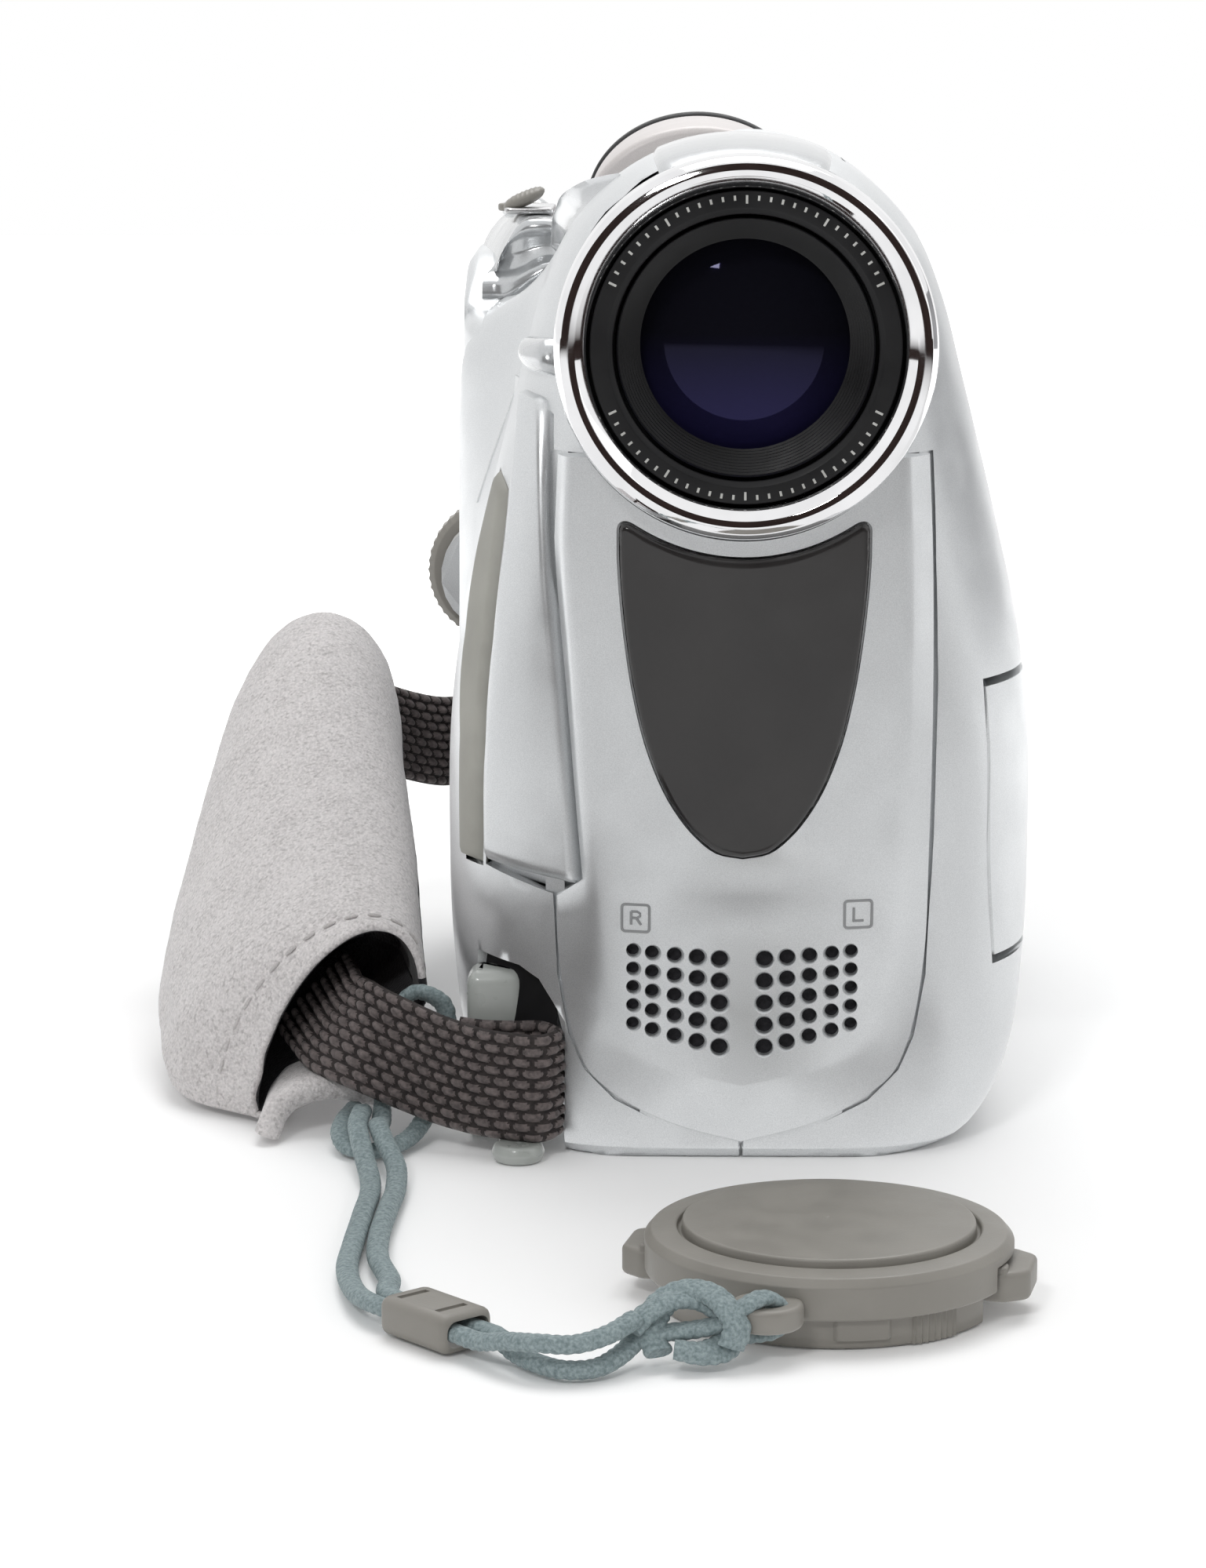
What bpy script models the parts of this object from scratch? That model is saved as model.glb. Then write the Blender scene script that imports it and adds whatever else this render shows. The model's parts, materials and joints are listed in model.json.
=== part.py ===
"""Palm-size tape camcorder with its hand strap, lens cap and lanyard.

Units are metres, +Z is up and the lens looks along -Y. The origin is on the floor under the lens axis,
half way along the body. +X is the side with the folding screen and -X is the side of the hand.
"""

import math

import bmesh
import bpy
from mathutils import Matrix, Vector

for leftover in list(bpy.data.objects):
    bpy.data.objects.remove(leftover, do_unlink=True)

MM = 0.001

# Driving dimensions
WALL = 2.2 * MM
GAP = 0.35 * MM
LENS_HEIGHT = 76.3 * MM
BARREL_RADIUS = 16.6 * MM
RING_RADIUS = 17.4 * MM
ROD_OFFSET = 10.8 * MM
NOSE_TIP = -57.5 * MM
NOSE_START = -32.0 * MM
BODY_REAR = 50.0 * MM
FRONT_FACE = -58.5 * MM
FRONT_BOW = 2.5 * MM
FRONT_BOW_REACH = 15.0 * MM
LCD_AXIS = (24.6 * MM, -34.0 * MM)
LCD_BAY_FLOOR = 21.6 * MM
LCD_PANEL_SPLIT = 24.2 * MM
DOOR_AXIS = (-26.0 * MM, 35.8 * MM)
FINDER_CENTRE = (-3.6 * MM, 83.5 * MM)
FINDER_RADII = (12.6 * MM, 10.4 * MM)
DIAL_CENTRE = (-26.6 * MM, 41.4 * MM)
POD_CENTRE = (-22.8 * MM, 15.0 * MM)
LEVER_PIVOT = (-22.6 * MM, 15.0 * MM)
BATTERY_LOW = (-12.0 * MM, 47.5 * MM, 8.0 * MM)
BATTERY_HIGH = (22.0 * MM, 61.0 * MM, 56.0 * MM)
DRUM_CENTRE = (-19.5 * MM, 40.0 * MM)
CHASSIS_X = (-3.6 * MM, -2.4 * MM)
REEL_DEPTH = 20.0 * MM
TERMINAL_BACK = -43.5 * MM
STRAP_BAR = (-20.1 * MM, -55.4 * MM)
WEBBING_WIDTH = 10.4 * MM
WEBBING_THICKNESS = 1.5 * MM
CAP_CENTRE = (6.6 * MM, -101.5 * MM)
CORD_DIAMETER = 1.8 * MM

# Half outlines of the body, bottom to top, as (half width, height) in millimetres
EGG = [(0, 0), (19.5, 0), (22.4, 0.9), (25.0, 3.8), (26.9, 8.5), (28.0, 16), (28.4, 27), (28.2, 38),
       (27.0, 48), (25.0, 57), (22.8, 66), (21.0, 73), (19.4, 79), (16.6, 85.5), (12.2, 90.3),
       (6.4, 93.4), (0, 94.3)]
EGG_REAR = EGG[:10] + [(22.8, 65), (20.8, 71.5), (18.2, 77), (14.8, 81.6), (10.8, 85.5), (5.8, 88.9),
                       (0, 90)]
BOX_REAR = EGG[:7] + [(28.5, 38), (28.5, 48), (28.5, 57), (28.4, 66), (27.6, 72.5), (24.6, 76.4),
                      (19.5, 78), (14, 84), (8.5, 88.4), (0, 90)]

# Front panel rows, top to bottom, as (half width, height) in millimetres: its crease and its outer edge
PANEL_CREASE = [(14.9, 66), (15.3, 57), (15.5, 45), (15.2, 30), (14.0, 19), (12.8, 14.3), (11.4, 11.5),
                (8.4, 9.5), (4.0, 8.1), (0, 7.3)]
PANEL_EDGE = [(17.2, 66), (17.6, 57), (17.8, 45), (17.6, 30), (17.0, 17), (15.8, 11.4), (14.4, 8.3),
              (11.5, 5.9), (6.3, 3.4), (0, 1.7)]
NAMEPLATE = [(11.6, 60.5), (11.4, 55), (10.8, 49), (10.0, 44), (8.6, 38.6), (6.4, 33.8), (4.4, 31.2),
             (2.4, 29.6), (0, 29.1)]


def smoothstep(value, low, high):
    share = min(1.0, max(0.0, (value - low) / (high - low)))
    return share * share * (3.0 - 2.0 * share)


def mix(first, second, share):
    return tuple(a + (b - a) * share for a, b in zip(first, second))


# Materials

def material(name, colour, roughness, metallic=0.0):
    made = bpy.data.materials.new(name)
    made.use_nodes = True
    shader = made.node_tree.nodes["Principled BSDF"]
    shader.inputs["Base Color"].default_value = (*colour, 1.0)
    shader.inputs["Roughness"].default_value = roughness
    shader.inputs["Metallic"].default_value = metallic
    return made


SILVER = material("silver_paint", (0.56, 0.58, 0.60), 0.35, 0.3)
CHROME = material("chrome", (0.85, 0.85, 0.86), 0.06, 1.0)
BLACK = material("black_plastic", (0.012, 0.012, 0.013), 0.45)
NAMEPLATE_GREY = material("nameplate_gloss", (0.05, 0.048, 0.048), 0.12)
GLASS = material("coated_glass", (0.01, 0.008, 0.04), 0.03)
GREY = material("grey_plastic", (0.22, 0.205, 0.185), 0.45)
RUBBER = material("grip_rubber", (0.38, 0.38, 0.35), 0.6)
STEEL = material("steel", (0.62, 0.62, 0.62), 0.3, 1.0)
BOARD = material("circuit_board", (0.02, 0.16, 0.06), 0.5)
SUEDE = material("suede", (0.44, 0.42, 0.42), 0.95)
WEBBING = material("webbing", (0.075, 0.06, 0.06), 0.85)
CORD = material("lanyard_cord", (0.16, 0.21, 0.22), 0.85)


# Modelling helpers

def make(name, vertices, faces):
    """A closed object from points in metres, with its faces turned outwards."""
    mesh = bpy.data.meshes.new(name)
    work = bmesh.new()
    points = [work.verts.new(v) for v in vertices]
    for face in faces:
        work.faces.new([points[i] for i in face])
    bmesh.ops.remove_doubles(work, verts=work.verts, dist=1e-7)
    bmesh.ops.recalc_face_normals(work, faces=work.faces)
    work.to_mesh(mesh)
    work.free()
    item = bpy.data.objects.new(name, mesh)
    bpy.context.collection.objects.link(item)
    return item


def rings_to_solid(name, rings):
    """A solid through closed rings of equal counts, with a flat face at each end."""
    count = len(rings[0])
    vertices = [p for ring in rings for p in ring]
    faces = []
    for level in range(len(rings) - 1):
        for i in range(count):
            j = (i + 1) % count
            low, high = level * count, (level + 1) * count
            faces.append((low + i, low + j, high + j, high + i))
    last = (len(rings) - 1) * count
    faces.append(tuple(range(count)))
    faces.append(tuple(last + i for i in range(count)))
    return make(name, vertices, faces)


def place(axis, u, v, along):
    return {"X": (along, u, v), "Y": (u, along, v), "Z": (u, v, along)}[axis]


def prism(name, outline, axis, start, end):
    """An outline of (u, v) points pulled along an axis; u and v are the two other axes in order."""
    return rings_to_solid(name, [[place(axis, u, v, along) for u, v in outline] for along in (start,
                                                                                              end)])


def box(name, low, high):
    outline = [(low[0], low[1]), (high[0], low[1]), (high[0], high[1]), (low[0], high[1])]
    return prism(name, outline, "Z", low[2], high[2])


def circle(centre, radius, segments, squash=1.0):
    steps = (2 * math.pi * (i + 0.5) / segments for i in range(segments))
    return [(centre[0] + radius * math.cos(t), centre[1] + radius * squash * math.sin(t)) for t in steps]


def rounded(centre, half, radius, steps=3):
    """A rectangle with round corners, as (u, v) points."""
    points = []
    for quarter, (su, sv) in enumerate(((1, 1), (-1, 1), (-1, -1), (1, -1))):
        for i in range(steps + 1):
            turn = math.pi / 2 * (quarter + i / steps)
            points.append((centre[0] + su * (half[0] - radius) + radius * math.cos(turn),
                           centre[1] + sv * (half[1] - radius) + radius * math.sin(turn)))
    return points


def cylinder(name, axis, centre, radius, start, end, segments=24):
    return prism(name, circle(centre, radius, segments), axis, start, end)


def turned(name, profile, centre, segments=48, axis="Y"):
    """A closed profile of (radius, along) points turned about an axis through centre."""
    count = len(profile)
    vertices = []
    for s in range(segments):
        turn = 2 * math.pi * s / segments
        for radius, along in profile:
            vertices.append(place(axis, centre[0] + radius * math.cos(turn),
                                  centre[1] + radius * math.sin(turn), along))
    faces = []
    for s in range(segments):
        t = (s + 1) % segments
        for i in range(count):
            j = (i + 1) % count
            corners = [s * count + i, s * count + j, t * count + j, t * count + i]
            if profile[i][0] == 0 and profile[j][0] == 0:
                continue
            if profile[i][0] == 0:
                corners = [s * count + i, s * count + j, t * count + j]
            elif profile[j][0] == 0:
                corners = [s * count + i, s * count + j, t * count + i]
            faces.append(tuple(corners))
    return make(name, vertices, faces)


def combine(target, tool, operation):
    modifier = target.modifiers.new("Combine", "BOOLEAN")
    modifier.operation = operation
    modifier.solver = "EXACT"
    modifier.object = tool
    bpy.context.view_layer.update()
    evaluated = target.evaluated_get(bpy.context.evaluated_depsgraph_get())
    result = bpy.data.meshes.new_from_object(evaluated)
    target.modifiers.clear()
    target.data = result
    bpy.data.objects.remove(tool, do_unlink=True)
    return target


def cut(target, *tools):
    for tool in tools:
        combine(target, tool, "DIFFERENCE")
    return target


def join(target, *tools):
    for tool in tools:
        combine(target, tool, "UNION")
    return target


def keep(target, *tools):
    for tool in tools:
        combine(target, tool, "INTERSECT")
    return target


def copy(item):
    twin = bpy.data.objects.new(item.name, item.data.copy())
    bpy.context.collection.objects.link(twin)
    return twin


def finish(item, look, smooth_angle=35):
    """Gives a finished piece its material and shading; flat faces stay flat."""
    item.name = item.name.split(".")[0]
    item.data.materials.clear()
    item.data.materials.append(look)
    item.data.shade_smooth()
    item.data.set_sharp_from_angle(angle=math.radians(smooth_angle))
    return item


def set_origin(item, point):
    """Moves an object's origin to a point on its joint's axis and leaves its faces where they are."""
    item.data.transform(Matrix.Translation(-Vector(point)))
    item.location = point
    return item


# Body surface

def nose_power(height):
    """The nose is blunter near the floor than higher up."""
    return 2.2 + 2.0 * max(0.0, 1.0 - height / (25 * MM)) ** 2


def nose_width(y, height):
    """Share of the full width at depth y."""
    if y >= NOSE_START:
        return 1.0
    reach = min(1.0, (NOSE_START - y) / (NOSE_START - NOSE_TIP))
    power = nose_power(height)
    return (1.0 - reach ** power) ** (1.0 / power)


def nose_depth(x, height):
    """Depth of the nose surface at a place seen from the front."""
    full = half_width(height)
    power = nose_power(height)
    share = min(0.999, abs(x) / full)
    return NOSE_START - (NOSE_START - NOSE_TIP) * (1.0 - share ** power) ** (1.0 / power)


def half_width(height):
    for (w0, z0), (w1, z1) in zip(EGG[1:], EGG[2:]):
        if z0 * MM <= height <= z1 * MM:
            return MM * (w0 + (w1 - w0) * (height / MM - z0) / (z1 - z0))
    return EGG[1][0] * MM


def side_points(y, grip):
    rear_share = smoothstep(y, -25 * MM, -7 * MM) if grip else smoothstep(y, -10 * MM, 26 * MM)
    rear = BOX_REAR if grip else EGG_REAR
    end_share = smoothstep(y, 43 * MM, BODY_REAR + 2 * MM) * 0.09
    points = []
    for front_point, rear_point in zip(EGG, rear):
        width, height = mix(front_point, rear_point, rear_share)
        share = nose_width(y, height * MM)
        x = width * share
        z = height
        above = height * MM - LENS_HEIGHT
        if above > 0:
            z = (LENS_HEIGHT + above * share) / MM
        x -= x * end_share
        z -= max(0.0, z - 8.0) * end_share * 0.5
        points.append((x * MM, z * MM))
    return points


def body_ring(y, inset=0.0):
    right = side_points(y, False)
    left = [(-x, z) for x, z in side_points(y, True)]
    ring = right + left[-2:0:-1]
    count = len(ring)
    moved = []
    for i, (x, z) in enumerate(ring):
        ahead = Vector(ring[(i + 1) % count])
        behind = Vector(ring[i - 1])
        run = (ahead - behind).normalized()
        moved.append((x - run.y * inset, y, z + run.x * inset))
    return moved


def body_solid(name, inset=0.0, front=-57.2 * MM, rear=BODY_REAR):
    """The whole body as one solid, its surface moved in by inset."""
    stations = [front, -56.2 * MM, -54 * MM, -51 * MM, -47 * MM, -42 * MM, -37 * MM, -31 * MM, -24 * MM,
                -16 * MM, -10 * MM, -4 * MM, 4 * MM, 15 * MM, 26 * MM, 44.2 * MM, 47 * MM, rear]
    kept = [y for y in stations if front <= y <= rear]
    solid = rings_to_solid(name, [body_ring(y, inset) for y in kept])
    work = bmesh.new()
    work.from_mesh(solid.data)
    bmesh.ops.triangulate(work, faces=work.faces)
    work.to_mesh(solid.data)
    work.free()
    return solid


def cavity(name):
    """The hollow inside the body; corners stay solid round the screen's bay, its hinge and the strap loop."""
    hollow = body_solid(name, WALL, front=-51 * MM, rear=44.2 * MM)
    cut(hollow, mm_box("bay", (19.4, -26.4, 6.4), (40, 60, 59.6)))
    cut(hollow, hinge_cylinder("hinge", 15.4, 13, 48.5))
    cut(hollow, mm_box("corner", (-40, -60, -1), (-15.4, -42.4, 20)))
    return hollow


def front_y(x):
    """Depth of the bowed front face of the front panel."""
    return FRONT_FACE + FRONT_BOW * (x / FRONT_BOW_REACH) ** 2


def bowed_slab(name, rows, front_offset, back_offset, columns=(-1.0, -0.5, 0.0, 0.5, 1.0)):
    """A slab bowed like the front panel; rows are (half width, height) in millimetres, down to a point."""
    vertices = []
    for offset in (front_offset, back_offset):
        for half, height in rows:
            for share in columns:
                x = half * share * MM
                vertices.append((x, front_y(x) + offset, height * MM))
    across = len(columns)
    layer = across * len(rows)
    faces = []
    for r in range(len(rows) - 1):
        for c in range(across - 1):
            a = r * across + c
            quad = (a, a + 1, a + across + 1, a + across)
            faces.append(quad)
            faces.append(tuple(layer + i for i in reversed(quad)))
        for edge in (0, across - 1):
            a = r * across + edge
            faces.append((a, a + across, layer + a + across, layer + a))
    for c in range(across - 1):
        faces.append((c, c + 1, layer + c + 1, layer + c))
    return closed_from(name, vertices, faces)


def closed_from(name, vertices, faces):
    """Like make, for faces that shrink to a point at their last row."""
    where = {}
    index = []
    unique = []
    for v in vertices:
        key = tuple(round(c / 1e-7) for c in v)
        if key not in where:
            where[key] = len(unique)
            unique.append(v)
        index.append(where[key])
    kept = []
    for face in faces:
        corners = []
        for i in face:
            if index[i] not in corners:
                corners.append(index[i])
        if len(corners) > 2:
            kept.append(tuple(corners))
    return make(name, unique, kept)


# Front panel and nameplate

def panel_outline(rows, grow):
    right = [((half + grow * min(1.0, half / 4.0)) * MM, (height - (grow if half < 12 else 0)) * MM)
             for half, height in rows]
    left = [(-x, z) for x, z in reversed(right[:-1])]
    return right + left


def lens_cylinder(name, radius, start, end, segments=48):
    return cylinder(name, "Y", (0.0, LENS_HEIGHT), radius, start, end, segments)


def make_front_panel():
    shares = (-1.0, -0.5, 0.0, 0.5, 1.0)
    back = -52.0 * MM
    vertices = []
    rows = len(PANEL_CREASE)
    across = len(shares) + 2
    for (crease, crease_z), (edge, edge_z) in zip(PANEL_CREASE, PANEL_EDGE):
        edge_y = min(nose_depth(edge * MM, edge_z * MM) - 0.5 * MM, -53.0 * MM)
        vertices.append((-edge * MM, edge_y, edge_z * MM))
        for share in shares:
            x = crease * share * MM
            vertices.append((x, front_y(x), crease_z * MM))
        vertices.append((edge * MM, edge_y, edge_z * MM))
    layer = rows * across
    for edge, edge_z in PANEL_EDGE:
        for share in (-1.0, *shares, 1.0):
            vertices.append((edge * share * MM, back, edge_z * MM))
    faces = []
    for r in range(rows - 1):
        for c in range(across - 1):
            a = r * across + c
            quad = (a, a + 1, a + across + 1, a + across)
            faces.append(quad)
            faces.append(tuple(layer + i for i in reversed(quad)))
        for edge in (0, across - 1):
            a = r * across + edge
            faces.append((a, a + across, layer + a + across, layer + a))
    for c in range(across - 1):
        faces.append((c, c + 1, layer + c + 1, layer + c))
    panel = closed_from("front_panel", vertices, faces)
    pocket = [(half - 3.5, height + 2.5) for half, height in PANEL_CREASE[1:8]] + [(0, 11.0)]
    cut(panel, prism("pocket", panel_outline(pocket, 0.0), "Y", -55.6 * MM, -45 * MM))
    plate_well = [(half + 0.3, height) for half, height in NAMEPLATE[:-1]] + [(0, NAMEPLATE[-1][1] - 0.3)]
    cut(panel, bowed_slab("well", plate_well, -2 * MM, 1.0 * MM))
    cut(panel, lens_cylinder("hole", BARREL_RADIUS + GAP, -70 * MM, -40 * MM))
    cut(panel, lens_cylinder("ring_seat", RING_RADIUS + GAP, -70 * MM, -55 * MM))
    cut(panel, prism("terminals", scaled(grown(TERMINAL, 0.35)), "Y", -70 * MM, -38 * MM))
    cut(panel, *microphone_holes())
    return finish(panel, SILVER)


MIC_COLUMNS = (2.1, 4.2, 6.3, 8.4, 10.2)
MIC_ROWS = 5


def microphone_holes():
    """Two blocks of sound holes; the rows droop and the holes shrink away from the middle."""
    holes = []
    for side in (-1, 1):
        for x in MIC_COLUMNS:
            away = (x - MIC_COLUMNS[0]) / (MIC_COLUMNS[-1] - MIC_COLUMNS[0])
            top = 19.4 + 0.6 * away
            bottom = 11.0 + 2.0 * away
            radius = (0.78 - 0.2 * away) * MM
            for row in range(MIC_ROWS):
                z = top + (bottom - top) * row / (MIC_ROWS - 1)
                holes.append(cylinder("hole", "Y", (side * x * MM, z * MM), radius, -70 * MM, -54 * MM,
                                      6))
    return holes


def make_nameplate():
    plate = bowed_slab("nameplate", NAMEPLATE, -0.2 * MM, 0.6 * MM)
    cut(plate, lens_cylinder("arc", 19.4 * MM, -70 * MM, -40 * MM))
    return finish(plate, NAMEPLATE_GREY)


# Lens

def make_lens():
    axis = (0.0, LENS_HEIGHT)
    barrel = [(16.6, -55), (16.6, -36), (14.0, -35), (14.0, -16), (12.5, -16), (12.5, -37), (14.2, -38),
              (14.2, -55)]
    ring = [(17.4, -60.4), (17.4, -56), (16.9, -55.4), (14.9, -55.4), (14.5, -57.5), (14.5, -61.0),
            (15.0, -61.7), (15.9, -62.0), (16.8, -61.6)]
    front = [(14.15, -60.3), (14.15, -57.6), (13.2, -57.6), (12.3, -59.2), (12.0, -59.9), (12.6, -60.3)]
    baffle = [(11.7, -59.8), (11.9, -57.4), (13.6, -57.2), (13.6, -52.5), (10.6, -52.5), (10.6, -54.2),
              (9.6, -55.2), (10.3, -56.4), (10.9, -58.2)]
    glass = [(0, -55.9), (4.5, -55.4), (8.0, -54.4), (10.2, -53.4), (10.2, -50.8), (6.0, -51.4),
             (0, -51.8)]
    zoom = [(0, -40.0), (6.0, -39.0), (9.0, -38.0), (9.0, -34.6), (0, -34.6)]
    focus = [(0, -24.2), (5.0, -23.4), (8.5, -22.4), (8.5, -19.6), (0, -19.6)]
    rows = (("lens_barrel", barrel, BLACK, 32), ("lens_ring", ring, CHROME, 44),
            ("lens_front_ring", front, BLACK, 32), ("lens_baffle", baffle, BLACK, 28),
            ("front_lens", glass, GLASS, 28), ("zoom_lens_group", zoom, GLASS, 20),
            ("focus_lens_group", focus, GLASS, 20))
    made = {}
    for name, profile, look, segments in rows:
        made[name] = finish(turned(name, scaled(profile), axis, segments), look)
    rod_radius = 0.6 * MM
    for name, side in (("lens_guide_rod_left", -1), ("lens_guide_rod_right", 1)):
        place_at = (side * ROD_OFFSET, LENS_HEIGHT)
        finish(cylinder(name, "Y", place_at, rod_radius, -49 * MM, -16.2 * MM, 8), STEEL)
    for name, y in (("zoom_lens_group", -37 * MM), ("focus_lens_group", -21.5 * MM)):
        group = made[name]
        for side in (-1, 1):
            ear_low = (min(side * 8 * MM, side * 12 * MM), y - 1.2 * MM, LENS_HEIGHT - 1.9 * MM)
            ear_high = (max(side * 8 * MM, side * 12 * MM), y + 1.2 * MM, LENS_HEIGHT + 1.9 * MM)
            join(group, box("ear", ear_low, ear_high))
            hole_at = (side * ROD_OFFSET, LENS_HEIGHT)
            cut(group, cylinder("hole", "Y", hole_at, rod_radius + 0.3 * MM, -60 * MM, 0, 8))
        finish(group, GLASS)
        set_origin(group, (0.0, y, LENS_HEIGHT))
    sensor = box("image_sensor", (-9 * MM, -15.6 * MM, LENS_HEIGHT - 8 * MM),
                 (9 * MM, -11.6 * MM, LENS_HEIGHT + 8 * MM))
    finish(sensor, BOARD)


# Body shells

TERMINAL = [(-17.9, 69), (-17.9, 56), (-17.8, 41.6), (-17.4, 31), (-16.6, 24.6), (-23.9, 26.3),
            (-23.8, 34), (-23.1, 41.6), (-21.5, 62), (-20.7, 71)]
GRIP_STRIP = [(-22.2, 61.5), (-23.2, 51), (-24.1, 40.6), (-24.5, 33), (-24.7, 26), (-26.1, 26),
              (-26.0, 33), (-25.6, 44.4), (-24.6, 55.7), (-23.4, 63.5)]
STRAP_SCOOP = [(-40, -2), (-16.5, -2), (-16.5, 12.5), (-17.7, 14.2), (-19.0, 16.2), (-21, 17.2),
               (-25, 17.6), (-40, 17.6)]


def scaled(outline):
    return [(u * MM, v * MM) for u, v in outline]


def grown(outline, amount):
    """An outline with each point pushed out by the given amount, across the run of its two sides."""
    count = len(outline)
    area = sum(outline[i - 1][0] * outline[i][1] - outline[i][0] * outline[i - 1][1] for i in range(count))
    side = math.copysign(1.0, area)
    moved = []
    for i, (u, v) in enumerate(outline):
        ahead, behind = outline[(i + 1) % count], outline[i - 1]
        first = Vector((u - behind[0], v - behind[1])).normalized()
        second = Vector((ahead[0] - u, ahead[1] - v)).normalized()
        run = (first + second).normalized()
        stretch = amount / max(0.4, run.dot(first))
        moved.append((u + side * run.y * stretch, v - side * run.x * stretch))
    return moved


def mm_box(name, low, high):
    return box(name, tuple(v * MM for v in low), tuple(v * MM for v in high))


def finder_prism(name, grow, start, end, segments=32):
    outline = circle(FINDER_CENTRE, FINDER_RADII[0] + grow, segments,
                     (FINDER_RADII[1] + grow) / (FINDER_RADII[0] + grow))
    return prism(name, outline, "Y", start, end)


def hinge_cylinder(name, radius, low, high, segments=28):
    return cylinder(name, "Z", LCD_AXIS, radius * MM, low * MM, high * MM, segments)


def make_pod():
    """The raised housing on the grip shoulder that carries the zoom lever and the photo button."""
    levels = ((75.5, 4.6, 15.2), (80.5, 4.9, 15.8), (83.0, 4.6, 15.3), (84.2, 3.9, 14.5),
              (84.6, 3.1, 13.5))
    rings = []
    for height, half_x, half_y in levels:
        outline = rounded(POD_CENTRE, (half_x * MM, half_y * MM), 2.8 * MM)
        rings.append([(x, y, height * MM) for x, y in outline])
    return rings_to_solid("pod", rings)


def make_shells(outer):
    shell = cut(copy(outer), cavity("inner"))
    front_cut = prism("cut", panel_outline(PANEL_EDGE, 0.35), "Y", -70 * MM, -46 * MM)
    cut(shell, front_cut, lens_cylinder("cut", BARREL_RADIUS + GAP, -70 * MM, -35 * MM))
    door_source = copy(shell)
    cut(shell, finder_prism("cut", 0.5 * MM, 13.5 * MM, 70 * MM))

    top = keep(copy(shell), mm_box("zone", (-10, -22, 84), (10, 13, 100)))
    cut(shell, mm_box("zone", (-10.3, -22.3, 84), (10.3, 13.3, 100)))
    top.name = "top_cover"
    finish(top, SILVER)

    base = keep(copy(shell), mm_box("zone", (-15, -38, -1), (15, 40, 2.6)))
    cut(shell, mm_box("zone", (-15.35, -38.35, -1), (15.35, 40.35, 2.7)))
    base.name = "base_plate"
    cut(base, cylinder("hole", "Z", (0, 14 * MM), 5.3 * MM, -1 * MM, 5 * MM))
    finish(base, SILVER)

    rear = keep(copy(shell), mm_box("zone", (-40, 44.35, -5), (40, 60, 100)))
    cut(shell, mm_box("zone", (-40, 44.0, -5), (40, 60, 100)))
    rear.name = "rear_cover"
    make_rear(rear)

    lcd = keep(copy(shell), mm_box("zone", (0.15, -60, -5), (40, 60, 100)))
    lcd.name = "lcd_side_case"
    make_lcd_side(lcd)

    grip = keep(shell, mm_box("zone", (-40, -60, -5), (-0.15, 60, 100)))
    grip.name = "grip_side_case"
    make_grip_side(grip)
    make_cassette_cover(door_source)


def make_rear(rear):
    low = (BATTERY_LOW[0] - GAP, BATTERY_LOW[1] - GAP, BATTERY_LOW[2] - GAP)
    high = (BATTERY_HIGH[0] + GAP, BATTERY_HIGH[1] + 5 * MM, BATTERY_HIGH[2] + GAP)
    cut(rear, box("bay", low, high))
    join(rear, cylinder("boss", "Y", DIAL_CENTRE, 6.6 * MM, 46.0 * MM, 50.1 * MM))
    finish(rear, SILVER)


def make_lcd_side(case):
    cut(case, mm_box("bay", (LCD_BAY_FLOOR / MM, -24.8, 8.6), (40, 42.4, 57.4)))
    cut(case, hinge_cylinder("pocket", 13.8, 16.7, 44.2), hinge_cylinder("hole", 1.6, 13.6, 47.9, 12))
    for y in BAY_BUTTONS:
        cut(case, cylinder("hole", "X", (y, BAY_BUTTON_HEIGHT), 3.0 * MM, 15 * MM, 30 * MM, 16))
    finish(case, SILVER)


BAY_BUTTONS = (20 * MM, 30 * MM)
BAY_BUTTON_HEIGHT = 16 * MM


def make_lcd_panel(outer):
    axis_point = (*LCD_AXIS, 30 * MM)
    block = keep(copy(outer), mm_box("zone", (21.9, -52, 17.5), (40, -24.35, 43.4)),
                 hinge_cylinder("zone", 13.4, 10, 50))
    block.name = "lcd_hinge_block"
    cut(block, hinge_cylinder("bore", 1.6, 10, 50, 12))
    cover = keep(copy(outer), mm_box("zone", (LCD_PANEL_SPLIT / MM, -24.0, 9.0), (40, 42.0, 57.0)))
    cover.name = "lcd_cover"
    frame = keep(copy(outer), mm_box("zone", (22.0, -24.0, 9.0),
                                     (LCD_PANEL_SPLIT / MM - 0.3, 42.0, 57.0)))
    frame.name = "lcd_frame"
    cut(frame, mm_box("well", (21.0, -17.3, 12.2), (23.0, 35.3, 53.8)))
    screen = mm_box("lcd_screen", (22.1, -17.0, 12.5), (22.7, 35.0, 53.5))
    for piece, look in ((block, SILVER), (cover, SILVER), (frame, BLACK), (screen, GLASS)):
        set_origin(finish(piece, look), axis_point)
    finish(hinge_cylinder("lcd_hinge_pin", 1.25, 13.9, 47.6, 12), STEEL)
    for name, y in zip(("play_button", "stop_button"), BAY_BUTTONS):
        button = cylinder(name, "X", (y, BAY_BUTTON_HEIGHT), 2.7 * MM, 19.6 * MM, 21.45 * MM, 16)
        set_origin(finish(button, GREY), (20.5 * MM, y, BAY_BUTTON_HEIGHT))


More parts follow.
